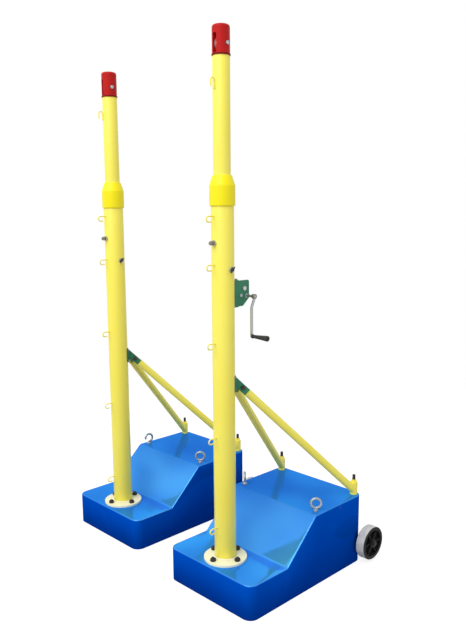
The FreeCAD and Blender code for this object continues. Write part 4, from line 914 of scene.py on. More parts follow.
@dataclass(frozen=True)
class Moulding(Finish):
    """Moulded rubber or plastic, with its fine grain and dust worked into it."""

    roughness: float = 0.55
    reflectance: float = 0.35
    cells: float = 700.0
    depth: float = 0.15 * MM
    strength: float = 0.5
    tone_cells: float = 30.0
    dust: float = 0.25
    dust_cells: float = 40.0
    dirt: float = 0.35
    dirt_height: float = 50 * MM
    scuffs: float = 0.35
    scuff_width: float = 0.008
    dulling: float = 0.3
    scuff_dulling: float = 0.2
    dust_tone: Colour = srgb(160, 156, 148)
    dirt_tone: Colour = srgb(120, 112, 100)
    unworn_tone: Colour = srgb(22, 22, 24)

    def paint(self, graph: Graph, shader: Node) -> None:
        """Two close tones, near black where its side is marked dark, then scuffs, dirt and dust."""
        cloud = graph.effect(Effects.mottle(), Cells=self.tone_cells)
        base = graph.blend(cloud, self.deep, self.tone)
        unworn = graph.node("ShaderNodeAttribute", attribute_type="GEOMETRY", attribute_name=DARK_SIDE)
        base = graph.blend(unworn.outputs["Fac"], base, self.unworn_tone)
        scuff = graph.effect(Effects.scratches(), Amount=self.scuffs, Width=self.scuff_width)
        base = graph.blend(scuff, base, self.dust_tone)
        dirt = graph.effect(Effects.floor_dirt(), Amount=self.dirt, Height=self.dirt_height)
        base = graph.blend(dirt, base, self.dirt_tone)
        dust = graph.effect(Effects.dust(), Amount=self.dust, Cells=self.dust_cells)
        base = graph.blend(dust, base, self.dust_tone)
        soiled = graph.maths("ADD", dust, dirt)
        rough = graph.maths("MULTIPLY_ADD", soiled, self.dulling, self.roughness)
        rough = graph.maths("MULTIPLY_ADD", scuff, self.scuff_dulling, rough, clamped=True)
        shader.inputs["Specular IOR Level"].default_value = self.reflectance
        height = graph.effect(Effects.grain(), Cells=self.cells)
        self.coat(graph, shader, base, rough, height, self.depth, self.strength)


@dataclass(frozen=True)
class RoughCasting(Finish):
    """Primed sand-cast iron."""

    roughness: float = 0.7
    tone_cells: float = 40.0
    gloss_drift: float = 0.1
    dust: float = 0.3
    dust_tone: Colour = srgb(150, 144, 134)
    grain_cells: float = 300.0
    grain_depth: float = 0.5 * MM
    grain_strength: float = 0.7

    def paint(self, graph: Graph, shader: Node) -> None:
        """Dull primer over a coarse sand grain."""
        cloud = graph.effect(Effects.mottle(), Cells=self.tone_cells)
        base = graph.blend(cloud, self.deep, self.tone)
        dust = graph.effect(Effects.dust(), Amount=self.dust)
        base = graph.blend(dust, base, self.dust_tone)
        rough = graph.maths("MULTIPLY_ADD", cloud, self.gloss_drift, self.roughness)
        height = graph.effect(Effects.grain(), Cells=self.grain_cells)
        self.coat(graph, shader, base, rough, height, self.grain_depth, self.grain_strength)


BLUE_SHEEN = (0.05, 0.42, 1.0)

# The finish of each material slot, by the slot's name.
FINISHES: dict[str, Finish] = {finish.name: finish for finish in (
    # The blue's highlight tone is a painted highlight and reflection on the base's tops.
    Enamel("blue_enamel", srgb(0, 82, 200), srgb(0, 76, 190), roughness=0.06, reflectance=0.0,
           sheen_tone=BLUE_SHEEN, bleached=srgb(78, 166, 246), metal=0.5, dust=0.0, dirt=0.04,
           wear=0.1),
    Enamel("yellow_paint", srgb(251, 239, 100), srgb(249, 234, 88), roughness=0.3,
           reflectance=0.42, dust=0.04, dirt=0.15, wear=0.15),
    Enamel("collar_paint", srgb(253, 238, 22), srgb(250, 232, 12), roughness=0.36,
           reflectance=0.3, dust=0.03, wear=0.2),
    Enamel("flange_paint", srgb(246, 243, 212), srgb(242, 238, 202), roughness=0.36,
           reflectance=0.3, dust=0.06, dirt=0.1, wear=0.2),
    Enamel("red_paint", srgb(198, 34, 32), srgb(178, 26, 24), roughness=0.36,
           reflectance=0.12, dust=0.0, wear=0.15),
    Enamel("green_paint", srgb(50, 132, 98), srgb(30, 108, 72), roughness=0.34,
           reflectance=0.35, dust=0.04, wear=0.5),
    BareSteel("zinc_steel", srgb(190, 192, 194), srgb(156, 158, 162), roughness=0.36, rust=0.08),
    BareSteel("dark_steel", srgb(62, 60, 58), srgb(44, 43, 42), roughness=0.46, metal=0.7,
              rust=0.2),
    # The pulley's pink tone is the red head's reflection, painted into its steel.
    BareSteel("pulley_steel", srgb(206, 176, 170), srgb(188, 154, 148), roughness=0.42, metal=0.4),
    BareSteel("plate_steel", srgb(120, 120, 120), srgb(96, 94, 92), roughness=0.5, cells=60.0,
              rust=0.5),
    RoughCasting("ballast_iron", srgb(92, 92, 94), srgb(70, 69, 68)),
    Moulding("tyre_rubber", srgb(214, 214, 210), srgb(196, 196, 192), roughness=0.8, cells=420.0,
             dust=0.15),
    Moulding("hub_plastic", srgb(24, 24, 26), srgb(18, 18, 20), roughness=0.6, reflectance=0.2,
             dust=0.05),
    Moulding("grip_plastic", srgb(46, 46, 52), srgb(34, 34, 38), roughness=0.45, dust=0.06),
)}
# A darker red for the band at a head's foot: painted shade.
HEAD_SHADE_RED = Enamel("dark_red", srgb(118, 24, 22), srgb(100, 20, 18), roughness=0.5,
                  reflectance=0.1, dust=0.0, wear=0.1)
EYE_STEEL = BareSteel("eye_steel", srgb(168, 176, 182), srgb(128, 136, 142), roughness=0.34)
SHAFT_STEEL = BareSteel("shaft_steel", srgb(146, 142, 136), srgb(114, 110, 106), roughness=0.42,
                        rust=0.12)
PLATED_STEEL = BareSteel("plated_steel", srgb(206, 208, 210), srgb(176, 178, 182), roughness=0.3,
                         metal=0.75)


def shown(name: str, data: bpy.types.ID, place: Matrix | None = None) -> bpy.types.Object:
    """Puts a mesh, a lamp or a camera into the scene.

    Args:
        name: the object's name.
        data: what it shows.
        place: its frame, where it isn't the scene's own.

    Returns:
        The object.
    """
    made = bpy.data.objects.new(name, data)
    if place is not None:
        made.matrix_world = place
    bpy.context.scene.collection.objects.link(made)
    return made


def add_piece(name: str, surface: Surface, slot: str, body: str, replaces: Sequence[str] = (),
              crease: float = 40.0, finish: Finish | None = None,
              unworn: Array | None = None) -> bpy.types.Object:
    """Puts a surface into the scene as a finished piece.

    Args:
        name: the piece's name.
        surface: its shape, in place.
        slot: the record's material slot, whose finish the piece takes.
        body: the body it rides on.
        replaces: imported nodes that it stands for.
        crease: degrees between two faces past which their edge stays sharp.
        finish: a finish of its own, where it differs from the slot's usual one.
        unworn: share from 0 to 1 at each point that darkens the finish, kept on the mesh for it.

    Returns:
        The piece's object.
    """
    mesh = bpy.data.meshes.new(name)
    faces = surface.quads.tolist() + surface.triangles.tolist()
    mesh.from_pydata(surface.points.tolist(), [], faces)
    mesh.polygons.foreach_set("use_smooth", np.ones(len(faces), bool))
    mesh.set_sharp_from_angle(angle=math.radians(crease))
    mesh.update()
    if unworn is not None:
        mesh.attributes.new(DARK_SIDE, "FLOAT", "POINT").data.foreach_set("value", unworn)
    mesh.materials.append((finish or FINISHES[slot]).material())
    piece = shown(name, mesh)
    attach(piece, body)
    if replaces:
        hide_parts(*replaces)
    log.info("%s: %d points on %s", name, len(surface.points), body)
    return piece


@dataclass
class SteelBase:
    """One post's folded sheet base: low deck, ramp and high rear in one skin."""

    post: Post
    sheet: float = 4 * MM
    corner: float = 45 * MM
    rim: float = 7 * MM
    bend: float = 18 * MM
    ramp_start: float = 247 * MM
    ramp_end: float = 450 * MM
    across: int = 33
    arc: int = 10
    level_stations: int = 40
    bend_stations: int = 13
    bend_reach: float = 0.6
    rim_steps: int = 8
    crease: float = 50.0

    def build(self) -> None:
        """Adds the skin, thick inwards as the sheet is."""
        piece = add_piece(self.post.node("folded_base"), self.skin(), "blue_enamel", ROOT_BODY,
                          [self.post.node("base_shell")], self.crease)
        wall = piece.modifiers.new("sheet", "SOLIDIFY")
        wall.thickness = self.sheet
        wall.offset = -1.0

    def top_height(self, x: Array) -> Array:
        """Height of the top sheet along the base.

        The ramp is straight. Each bend is a circle tangent to the ramp and to the level sheet,
        from above at the ramp's foot and from below at its head; its tangent points lie
        bend times tan(half the ramp's tilt) from the corner.

        Args:
            x: places along the base.

        Returns:
            The height at each.
        """
        extent = self.post.base
        low, high = Extent.of("foot_flanges").low[2], extent.high[2]
        start = extent.low[0] + self.ramp_start
        end = extent.low[0] + self.ramp_end
        tilt = math.atan2(high - low, end - start)
        reach = self.bend * math.tan(tilt / 2)
        width = self.bend * math.sin(tilt)
        height = np.clip(low + math.tan(tilt) * (x - start), low, high)
        foot, head = start - reach, end + reach
        below = np.sqrt(np.clip(self.bend**2 - (x - foot) ** 2, 0, None))
        above = np.sqrt(np.clip(self.bend**2 - (head - x) ** 2, 0, None))
        height = np.where((x > foot) & (x < foot + width), low + self.bend - below, height)
        return np.where((x < head) & (x > head - width), high - self.bend + above, height)

    def rows(self) -> tuple[Array, Array, Array]:
        """Stations of the top sheet inside the rounded rim, from front to rear.

        Returns:
            Each station's place along the base, its half width, and the direction in plan in
            which its left end faces.
        """
        extent = self.post.base
        front, rear = extent.low[0] + self.rim, extent.high[0] - self.rim
        half = extent.size[1] / 2 - self.rim
        radius = self.corner - self.rim
        angle = np.linspace(0, math.pi / 2, self.arc)
        start, end = extent.low[0] + self.ramp_start, extent.low[0] + self.ramp_end
        near = self.bend * np.linspace(-self.bend_reach, self.bend_reach, self.bend_stations)
        even = np.linspace(front + radius, rear - radius, self.level_stations)[1:-1]
        straight = np.unique(np.concatenate([even, start + near, end + near]))
        inward = radius * (1 - np.cos(angle))
        x = np.concatenate([front + inward, straight, rear - inward[::-1]])
        turn = radius * (np.sin(angle) - 1)
        widths = np.concatenate([half + turn, np.full(len(straight), half), half + turn[::-1]])
        facing = points_of(-np.cos(angle), np.sin(angle))
        level = np.tile([0.0, 1.0], (len(straight), 1))
        return x, widths, np.vstack([facing, level, facing[::-1] * [-1, 1]])

    def skin(self) -> Surface:
        """The outer skin.

        The top is a grid: stations along the base by even shares of their width. Round its edge
        the rim is a quarter circle, out by rim sin a and down by rim (1 - cos a), and the wall
        drops from there to the floor.

        Returns:
            The skin, open below.
        """
        x, half, facing = self.rows()
        middle = self.post.base.middle[1]
        share = np.linspace(-1, 1, self.across)
        y = middle + half[:, None] * share
        top = np.stack(np.broadcast_arrays(x[:, None], y, self.top_height(x)[:, None]), axis=-1)
        index = np.arange(top.shape[0] * self.across).reshape(-1, self.across)
        edge = np.concatenate([index[0], index[1:, -1], index[-1, -2::-1], index[-2:0:-1, 0]])
        count = self.across
        front = np.tile([-1.0, 0.0], (count, 1))
        rear = np.tile([1.0, 0.0], (count - 1, 1))
        out = np.vstack([front, facing[1:], rear, facing[-2:0:-1] * [1, -1]])
        base = top.reshape(-1, 3)[edge]
        angle = np.linspace(0, math.pi / 2, self.rim_steps)[1:]
        rim = np.repeat(base[None], len(angle), axis=0)
        rim[:, :, :2] += self.rim * np.sin(angle)[:, None, None] * out
        rim[:, :, 2] -= self.rim * (1 - np.cos(angle))[:, None]
        wall = rim[-1].copy()
        wall[:, 2] = 0.0
        rings = np.concatenate([rim, wall[None]])
        points = np.vstack([top.reshape(-1, 3), rings.reshape(-1, 3)])
        outer = np.arange(rings.shape[0] * len(edge)).reshape(rings.shape[0], -1) + index.size
        skirt = quads_between(np.vstack([edge, outer]), wrap_columns=True)
        quads = np.vstack([quads_between(index)[:, ::-1], skirt])
        return Surface(points, quads, np.empty((0, 3), int)).outward()


@dataclass
class Telescope:
    """One post's tubes: the weld on its flange, lower tube, collar and mast."""

    post: Post
    tube_wall: float = 4 * MM
    mast_wall: float = 3 * MM
    weld_leg: float = 6 * MM
    weld_points: int = 720
    collar_straight: float = 87 * MM
    collar_neck: float = 86 * MM
    running_gap: float = 0.3 * MM
    press_gap: float = 0.1 * MM
    edge: float = 0.5 * MM

    def build(self) -> None:
        """Adds the tubes, the collar and the ring."""
        mast = self.post.node("mast")
        self.tube("lower_tube", self.tube_wall, ROOT_BODY)
        self.tube("mast_tube", self.mast_wall, mast)
        add_piece(self.post.node("guide_collar"), self.collar(), "collar_paint", ROOT_BODY,
                  [self.post.node("collar")])
        add_piece(self.post.node("foot_weld"), self.foot_weld(), "flange_paint", ROOT_BODY)

    def tube(self, name: str, wall: float, body: str) -> None:
        """Adds a tube that stands for a packed one, with its sawn edges eased.

        Args:
            name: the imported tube.
            wall: its wall.
            body: the body it rides on.
        """
        extent = self.post.box(name)
        outer = max(extent.size[:2]) / 2
        low, high = extent.low[2], extent.high[2]
        profile = rounded([
            (outer, low, self.edge), (outer, high, self.edge),
            (outer - wall, high, self.edge), (outer - wall, low, self.edge),
        ], 2)
        surface = turned(profile, 128).moved(lifted(self.post.axis))
        add_piece(self.post.node(f"{name}_skin"), surface, "yellow_paint", body,
                  [self.post.node(name)])

    def collar(self) -> Surface:
        """The collar's wall: straight below, drawn in to the mast above, every edge eased."""
        extent = self.post.box("collar")
        low, high = extent.low[2], extent.high[2]
        outer = extent.size[0] / 2
        tube = self.post.box("lower_tube")
        mast = self.post.box("mast_tube")
        seat = tube.high[2]
        grip = tube.size[0] / 2 + self.press_gap
        slide = min(mast.size[:2]) / 2 + self.running_gap
        profile = rounded([
            (grip, low, 0.8 * MM), (outer, low, 3 * MM),
            (outer, low + self.collar_straight, 14 * MM), (self.collar_neck / 2, high, 1.6 * MM),
            (slide, high, 1 * MM), (slide, seat, 0), (grip, seat, 0),
        ], 8)
        return turned(profile, 128).moved(lifted(self.post.axis))

    def foot_weld(self) -> Surface:
        """The rippled weld between the lower tube and its flange."""
        tube = self.post.box("lower_tube")
        flange_top = tube.low[2] + Flanges.thickness
        out = level_arms(full_turn(self.weld_points))
        path = self.post.axis + out * tube.size[0] / 2 + [0, 0, flange_top]
        return weld_bead(path, out, UP, self.weld_leg, loop=True)


@dataclass
class Flanges:
    """The two round foot flanges."""

    thickness: float = 12 * MM
    press_gap: float = 0.1 * MM

    def build(self) -> None:
        """Adds both flanges as one piece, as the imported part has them."""
        discs = [self.disc(post) for post in Post]
        add_piece("foot_flange_discs", joined(discs), "flange_paint", ROOT_BODY, ["foot_flanges"])

    def disc(self, post: Post) -> Surface:
        """One flange: a flat ring with a turned edge."""
        extent = Extent.of("foot_flanges")
        tube = post.box("lower_tube")
        radius = (extent.size[0] - abs(Post.PLAIN.axis[0] - Post.WINCH.axis[0])) / 2
        low = extent.low[2]
        high = low + self.thickness
        bore = tube.size[0] / 2 + self.press_gap
        profile = rounded([
            (bore, low, 0), (radius, low, 0.8 * MM), (radius, high, 2 * MM), (bore, high, 0),
        ], 5)
        return turned(profile, 128).moved(lifted(post.axis))


@dataclass
class Wheel:
    """One transport wheel's tyre."""

    post: Post
    side: Side
    band: float = 8 * MM
    groove: float = 1.6 * MM
    groove_width: float = 1.2 * MM
    shoulder: float = 4 * MM
    across: int = 61
    around: int = 120

    def build(self) -> None:
        """Adds the tyre."""
        name = self.post.node(f"{self.side.word}_wheel")
        node = f"{name}_tyre"
        tyre, unworn = self.tyre(node)
        add_piece(f"{name}_tread", tyre, "tyre_rubber", name, [node], 30.0, unworn=unworn)

    def tyre(self, node: str) -> tuple[Surface, Array]:
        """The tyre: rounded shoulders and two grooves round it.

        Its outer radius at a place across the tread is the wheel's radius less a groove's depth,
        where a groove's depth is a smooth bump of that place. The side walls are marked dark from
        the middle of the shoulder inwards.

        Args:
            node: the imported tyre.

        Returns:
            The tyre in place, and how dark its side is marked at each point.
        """
        extent = Extent.of(node)
        outer = extent.size[0] / 2
        half = extent.size[1] / 2
        flat = half - self.shoulder
        across = np.linspace(-flat, flat, self.across)
        cuts = sum(np.exp(-(((across - spot) / self.groove_width) ** 4))
                   for spot in (-flat / 3, flat / 3))
        crown = points_of(outer - self.groove * cuts, across)
        arc = np.linspace(0, math.pi / 2, 7)[1:]
        drop, out = self.shoulder * (1 - np.cos(arc)), self.shoulder * np.sin(arc)
        right = points_of(outer - drop, flat + out)
        left = right[::-1] * [1, -1]
        inner = np.array([[outer - self.band, half], [outer - self.band, -half]])
        profile = np.vstack([left, crown, right, inner])
        beyond = (np.abs(profile[:, 1]) - flat) / self.shoulder
        unworn = np.repeat(np.clip(beyond * 2 - 0.6, 0, 1), self.around)
        return turned(profile, self.around).moved(placed(extent.middle, LEFTWARD)), unworn


@dataclass(frozen=True)
class BraceLine:
    """The line of one brace, from the bracket on the post down to its foot on the base."""

    post: Post
    side: Side
    diameter: float = 38 * MM
    reach: float = 62 * MM
    half_spread: float = 16 * MM
    height: float = 1010 * MM
    foot_height: float = 20 * MM

    @property
    def start(self) -> Array:
        """Where the line begins, beside the post."""
        return self.post.axis + [self.reach, self.side.value * self.half_spread, self.height]

    @property
    def foot(self) -> Array:
        """Where the line meets the foot sleeve's own axis."""
        brace = self.post.box(f"{self.side.word}_brace")
        radius = self.diameter / 2
        y = brace.high[1] - radius if self.side is Side.LEFT else brace.low[1] + radius
        return np.array([brace.high[0] - radius, y, self.post.base.high[2] + self.foot_height])

    @property
    def direction(self) -> Array:
        """Along the brace, towards its foot."""
        return unit(self.foot - self.start)

    @property
    def outward(self) -> Array:
        """Level direction square to the brace, away from the other brace."""
        along = self.direction
        return self.side.value * unit(np.array([-along[1], along[0], 0.0]))


class Thread(Enum):
    """Metric screws: their diameter, their pitch and the width across flats of head and nut."""

    M8 = (8 * MM, 1.25 * MM, 13 * MM)
    M10 = (10 * MM, 1.5 * MM, 16 * MM)
    M12 = (12 * MM, 1.75 * MM, 19 * MM)
    M16 = (16 * MM, 2 * MM, 24 * MM)

    def __init__(self, diameter: float, pitch: float, flats: float) -> None:
        """Takes a size's three lengths."""
        self.radius = diameter / 2
        self.pitch = pitch
        self.flats = flats


def threaded(size: Thread, low: float, high: float) -> Surface:
    """A screw thread about Z.

    At height z and angle a the radius is the crest's less the thread's depth times twice the
    distance of z / pitch - a / turn from its nearest whole number. It is drawn in at the end.

    Args:
        size: the screw's size.
        low: lower end.
        high: upper end, chamfered.

    Returns:
        The threaded stretch.
    """
    pitch = size.pitch
    angle = full_turn(SCREW_COLUMNS)
    height = np.linspace(low, high, int(THREAD_ROWS * (high - low) / pitch) + 2)
    phase = height[:, None] / pitch - angle[None] / (2 * math.pi)
    groove = np.abs(phase - np.round(phase)) * 2
    chamfer = np.clip(1 - (high - height) / (THREAD_CHAMFER * pitch), 0, 1)[:, None]
    across = size.radius - THREAD_DEPTH * pitch * np.maximum(groove * THREAD_GROOVE, chamfer)
    return round_grid(across, height, angle)


def round_grid(across: Array, height: Array, angle: Array) -> Surface:
    """A capped surface of the given radius at each height and angle about Z."""
    up = np.repeat(height[:, None], len(angle), axis=1)
    grid = points_of(across * np.cos(angle), across * np.sin(angle), up)
    return woven(grid, capped=True)


def hexagon_sides(flats: float, angle: Array) -> Array:
    """How far a hexagon's sides are from its middle, by angle.

    At an angle a from the nearest flat's middle that is flats / 2 / cos a.

    Args:
        flats: width across flats.
        angle: angles about the middle.

    Returns:
        The distance at each angle.
    """
    sector = (angle + math.pi / 6) % (math.pi / 3) - math.pi / 6
    return flats / 2 / np.cos(sector)


def hexagon(flats: float, low: float, high: float) -> Surface:
    """A bolt head or nut about Z, with the corners of its outer face turned off.

    Near the top the radius is held under a cone, which cuts the corners in the usual curves.

    Args:
        flats: width across flats.
        low: seat.
        high: outer face.

    Returns:
        The head.
    """
    angle = full_turn(HEX_COLUMNS)
    side = hexagon_sides(flats, angle)
    height = np.concatenate([[low], np.linspace(high - CONE_START * flats, high, 6)])
    cone = flats / 2 * CONE_TOP + (high - height) * CONE_SLOPE
    across = np.minimum(side[None], np.concatenate([[flats], cone[1:]])[:, None])
    return round_grid(across, height, angle)


def drilled_disc(outer: float, bore: float, low: float, high: float, ease: float) -> Surface:
    """A flat ring about Z whose outer edges are eased."""
    return turned(rounded([
        (bore, low, 0), (outer, low, ease), (outer, high, ease), (bore, high, 0),
    ], 3), 48)


@dataclass(frozen=True)
class HexBolt:
    """A bolt in its own frame: its head stands on Z = 0 and its shank hangs below.

    The head is its height, the length runs from under the head to the tip, and the thread takes
    up the last of it.
    """

    size: Thread
    head: float
    length: float
    thread: float

    def at(self, place: Matrix) -> list[Surface]:
        """The head, the plain shank and the threaded end, in place."""
        radius = self.size.radius
        plain = self.length - self.thread
        shank = turned(np.array([[radius, 0.0], [radius, plain + self.size.pitch]]),
                       SCREW_COLUMNS, ring=False)
        screw = threaded(self.size, plain, self.length)
        head = hexagon(self.size.flats, 0, self.head)
        return moved([head, *moved([shank, screw], UPSIDE_DOWN)], place)


@dataclass(frozen=True)
class HexNut:
    """A nut in its own frame: it stands on Z = 0, on a washer where it has one."""

    size: Thread
    height: float
    washer_d: float = 0.0
    washer: float = 0.0
    ease: float = 0.5 * MM

    def at(self, place: Matrix) -> list[Surface]:
        """The nut and its washer, in place."""
        flats = self.size.flats
        parts = [hexagon(flats, self.washer, self.height)]
        if self.washer:
            parts.append(drilled_disc(self.washer_d / 2, flats / 4, 0, self.washer, self.ease))
        return moved(parts, place)


UPSIDE_DOWN = Matrix.Rotation(math.pi, 4, "X")


def moved(surfaces: Sequence[Surface], place: Matrix) -> list[Surface]:
    """Several surfaces after one rigid move."""
    return [surface.moved(place) for surface in surfaces]


@dataclass
class Fasteners:
    """Every bolt, nut and stud that is made anew with its chamfers and threads."""

    flange_circle: float = 160 * MM
    flange_bolt_count: int = 4
    deck_sheet: float = 4 * MM
    flange: float = 12 * MM
    sleeve: float = 64 * MM
    stud_rise: float = 38 * MM
    stud_thread: float = 44 * MM
    cheek_half: float = 12.3 * MM
    brace_bolt_at: float = 38 * MM
    axle_height: float = 100 * MM
    axle_behind: float = 13 * MM
    wheel_seat: float = 62.5 * MM
    axle_proud: float = 16 * MM
    axle_radius: float = 12 * MM
    journal_radius: float = 10 * MM
    journal: float = 49 * MM

    def build(self) -> None:
        """Adds each kind over both posts as one piece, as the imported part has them."""
        kinds = {
            "flange_bolts": (self.flange_bolts, "deck_flange_bolts", "dark_steel"),
            "brace_bolts": (self.brace_bolts, "brace_cross_bolts", "dark_steel"),
            "foot_studs": (self.foot_studs, "brace_foot_studs", "dark_steel"),
            "foot_nuts": (self.foot_nuts, "brace_foot_nuts", "yellow_paint"),
            "wheel_nuts": (self.wheel_nuts, "axle_end_nuts", "dark_steel"),
            "axles": (self.axles, "threaded_axles", "dark_steel"),
        }
        for node, (make, name, slot) in kinds.items():
            parts = [surface for post in Post for surface in make(post)]
            add_piece(name, joined(parts), slot, ROOT_BODY, [node], 30.0)

    def flange_bolts(self, post: Post) -> list[Surface]:
        """Bolts up through a deck and its flange, evenly round a circle, with their nuts on top."""
        nut = HexNut(Thread.M16, height=13 * MM)
        length = self.deck_sheet + self.flange + nut.height + 5 * MM
        bolt = HexBolt(Thread.M16, head=10 * MM, length=length, thread=24 * MM)
        deck = Extent.of("foot_flanges").low[2]
        parts = []
        for number in range(self.flange_bolt_count):
            angle = 2 * math.pi * number / self.flange_bolt_count
            arm = np.array([math.cos(angle), math.sin(angle), 0.0]) * self.flange_circle / 2
            below = placed(post.axis + arm + UP * (deck - self.deck_sheet), -UP)
            above = placed(post.axis + arm + UP * (deck + self.flange), UP)
            parts += bolt.at(below) + nut.at(above)
        return parts

    def brace_bolts(self, post: Post) -> list[Surface]:
        """Cross bolts of the braces' tongues, heads outward."""
        length = 2 * self.cheek_half + 9.5 * MM
        bolt = HexBolt(Thread.M12, head=7.5 * MM, length=length, thread=18 * MM)
        nut = HexNut(Thread.M12, height=7.5 * MM)
        parts = []
        for side in Side:
            line = BraceLine(post, side)
            middle = line.start + line.direction * self.brace_bolt_at
            outer = placed(middle + line.outward * self.cheek_half, line.outward)
            inner = placed(middle - line.outward * self.cheek_half, -line.outward)
            parts += bolt.at(outer) + nut.at(inner)
        return parts

    @staticmethod
    def feet(post: Post, above: float) -> list[Array]:
        """Points on the axes of a post's two foot sleeves, so far above the base's top."""
        level = post.base.high[2] + above
        return [np.array([*BraceLine(post, side).foot[:2], level]) for side in Side]

    def foot_studs(self, post: Post) -> list[Surface]:
        """Studs up through the braces' feet, heads under the top sheet."""
        length = self.deck_sheet + self.sleeve + self.stud_rise
        stud = HexBolt(Thread.M16, head=10 * MM, length=length, thread=self.stud_thread)
        return [part for foot in self.feet(post, -self.deck_sheet)
                for part in stud.at(placed(foot, -UP))]

    def foot_nuts(self, post: Post) -> list[Surface]:
        """Washered nuts on the foot sleeves."""
        nut = HexNut(Thread.M16, height=13 * MM, washer_d=32 * MM, washer=3 * MM)
        return [part for foot in self.feet(post, self.sleeve)
                for part in nut.at(lifted(foot))]

    def axle_end(self, post: Post, side: Side) -> Array:
        """Where a wheel's washer sits on its axle."""
        base = post.base
        y = post.axis[1] + side.value * (base.size[1] / 2 + self.wheel_seat)
        return np.array([base.high[0] + self.axle_behind, y, self.axle_height])

    def wheel_nuts(self, post: Post) -> list[Surface]:
        """Washered nuts on the axle's two ends."""
        nut = HexNut(Thread.M16, height=12 * MM, washer_d=30 * MM, washer=3 * MM)
        places = [placed(self.axle_end(post, side), LEFTWARD * side.value) for side in Side]
        return [part for place in places for part in nut.at(place)]

    def axles(self, post: Post) -> list[Surface]:
        """A stepped axle: thick between its shoulders, journals in the wheels, threaded ends."""
        ends = [self.axle_end(post, side) for side in Side]
        reach = abs(ends[0][1] - ends[1][1]) / 2
        shoulder, thin, thick = reach - self.journal, self.journal_radius, self.axle_radius
        profile = np.array([
            [thin, -reach], [thin, -shoulder], [thick, -shoulder + 1 * MM],
            [thick, shoulder - 1 * MM], [thin, shoulder], [thin, reach],
        ])
        middle = placed((ends[0] + ends[1]) / 2, LEFTWARD)
        screw = threaded(Thread.M16, reach, reach + self.axle_proud)
        parts = [turned(profile, 48, ring=False).moved(middle), screw.moved(middle)]
        return parts + [screw.moved(middle @ UPSIDE_DOWN)]


@dataclass
class LiftingEyes:
    """Rings of round bar on collared stems at the top of the ramps."""

    radius: float = 24 * MM
    wire_d: float = 13 * MM
    steps: int = 90
    rise: float = 14 * MM
    shank: float = 18 * MM
    sheet: float = 4 * MM
    behind: float = 492 * MM
    inset: float = 38 * MM
    open_sweep: float = 290.0

    def build(self) -> None:
        """Adds all four eyes as one piece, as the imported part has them."""
        turns = {
            (Post.WINCH, Side.LEFT): 45.0, (Post.WINCH, Side.RIGHT): -45.0,
            (Post.PLAIN, Side.LEFT): -8.0, (Post.PLAIN, Side.RIGHT): -45.0,
        }
        parts = []
        for (post, side), turn in turns.items():
            base = post.base
            y = post.axis[1] + side.value * (base.size[1] / 2 - self.inset)
            spot = np.array([base.low[0] + self.behind, y, base.high[2]])
            place = lifted(spot) @ Matrix.Rotation(math.radians(turn), 4, "Z")
            parts += moved([self.ring(side), *self.stem()], place)
        add_piece("lifting_eyes", joined(parts), "zinc_steel", ROOT_BODY, ["eye_bolts"], 35.0,
                  EYE_STEEL)

    def ring(self, side: Side) -> Surface:
        """The ring: round bar bent about a level line, closed on the right, open on the left.

        At angle a from its foot the bar's middle is (radius sin a, 0, -radius cos a) from the
        ring's own middle. An open ring's tip is drawn in along a circle.
        """
        closed = side is Side.RIGHT
        sweep = 360.0 if closed else self.open_sweep
        angle = np.radians(np.linspace(0, sweep, self.steps + 1))[: -1 if closed else None]
        out = points_of(np.sin(angle), np.zeros_like(angle), -np.cos(angle))
        path = out * self.radius + UP * (self.rise + self.radius)
        bar = circle(self.wire_d / 2, 20)
        if closed:
            return carried(bar, path, out, LEFTWARD, loop=True)
        left = (angle[-1] - angle) * self.radius
        return carried(bar, path, out, LEFTWARD, domed(left, self.wire_d / 2))

    def stem(self) -> list[Surface]:
        """The flared neck on its collar, the threaded shank and its nut under the sheet."""
        neck = turned(rounded([
            (13 * MM, 0, 0), (13 * MM, 5 * MM, 1.5 * MM), (8.5 * MM, 5.5 * MM, 3 * MM),
            (6.2 * MM, self.rise, 0),
        ], 5, closed=False), 40, ring=False)
        screw = threaded(Thread.M12, 0, self.shank).moved(UPSIDE_DOWN)
        nut = HexNut(Thread.M12, height=10 * MM)
        return [neck, screw, *nut.at(lifted(-UP * self.sheet) @ UPSIDE_DOWN)]


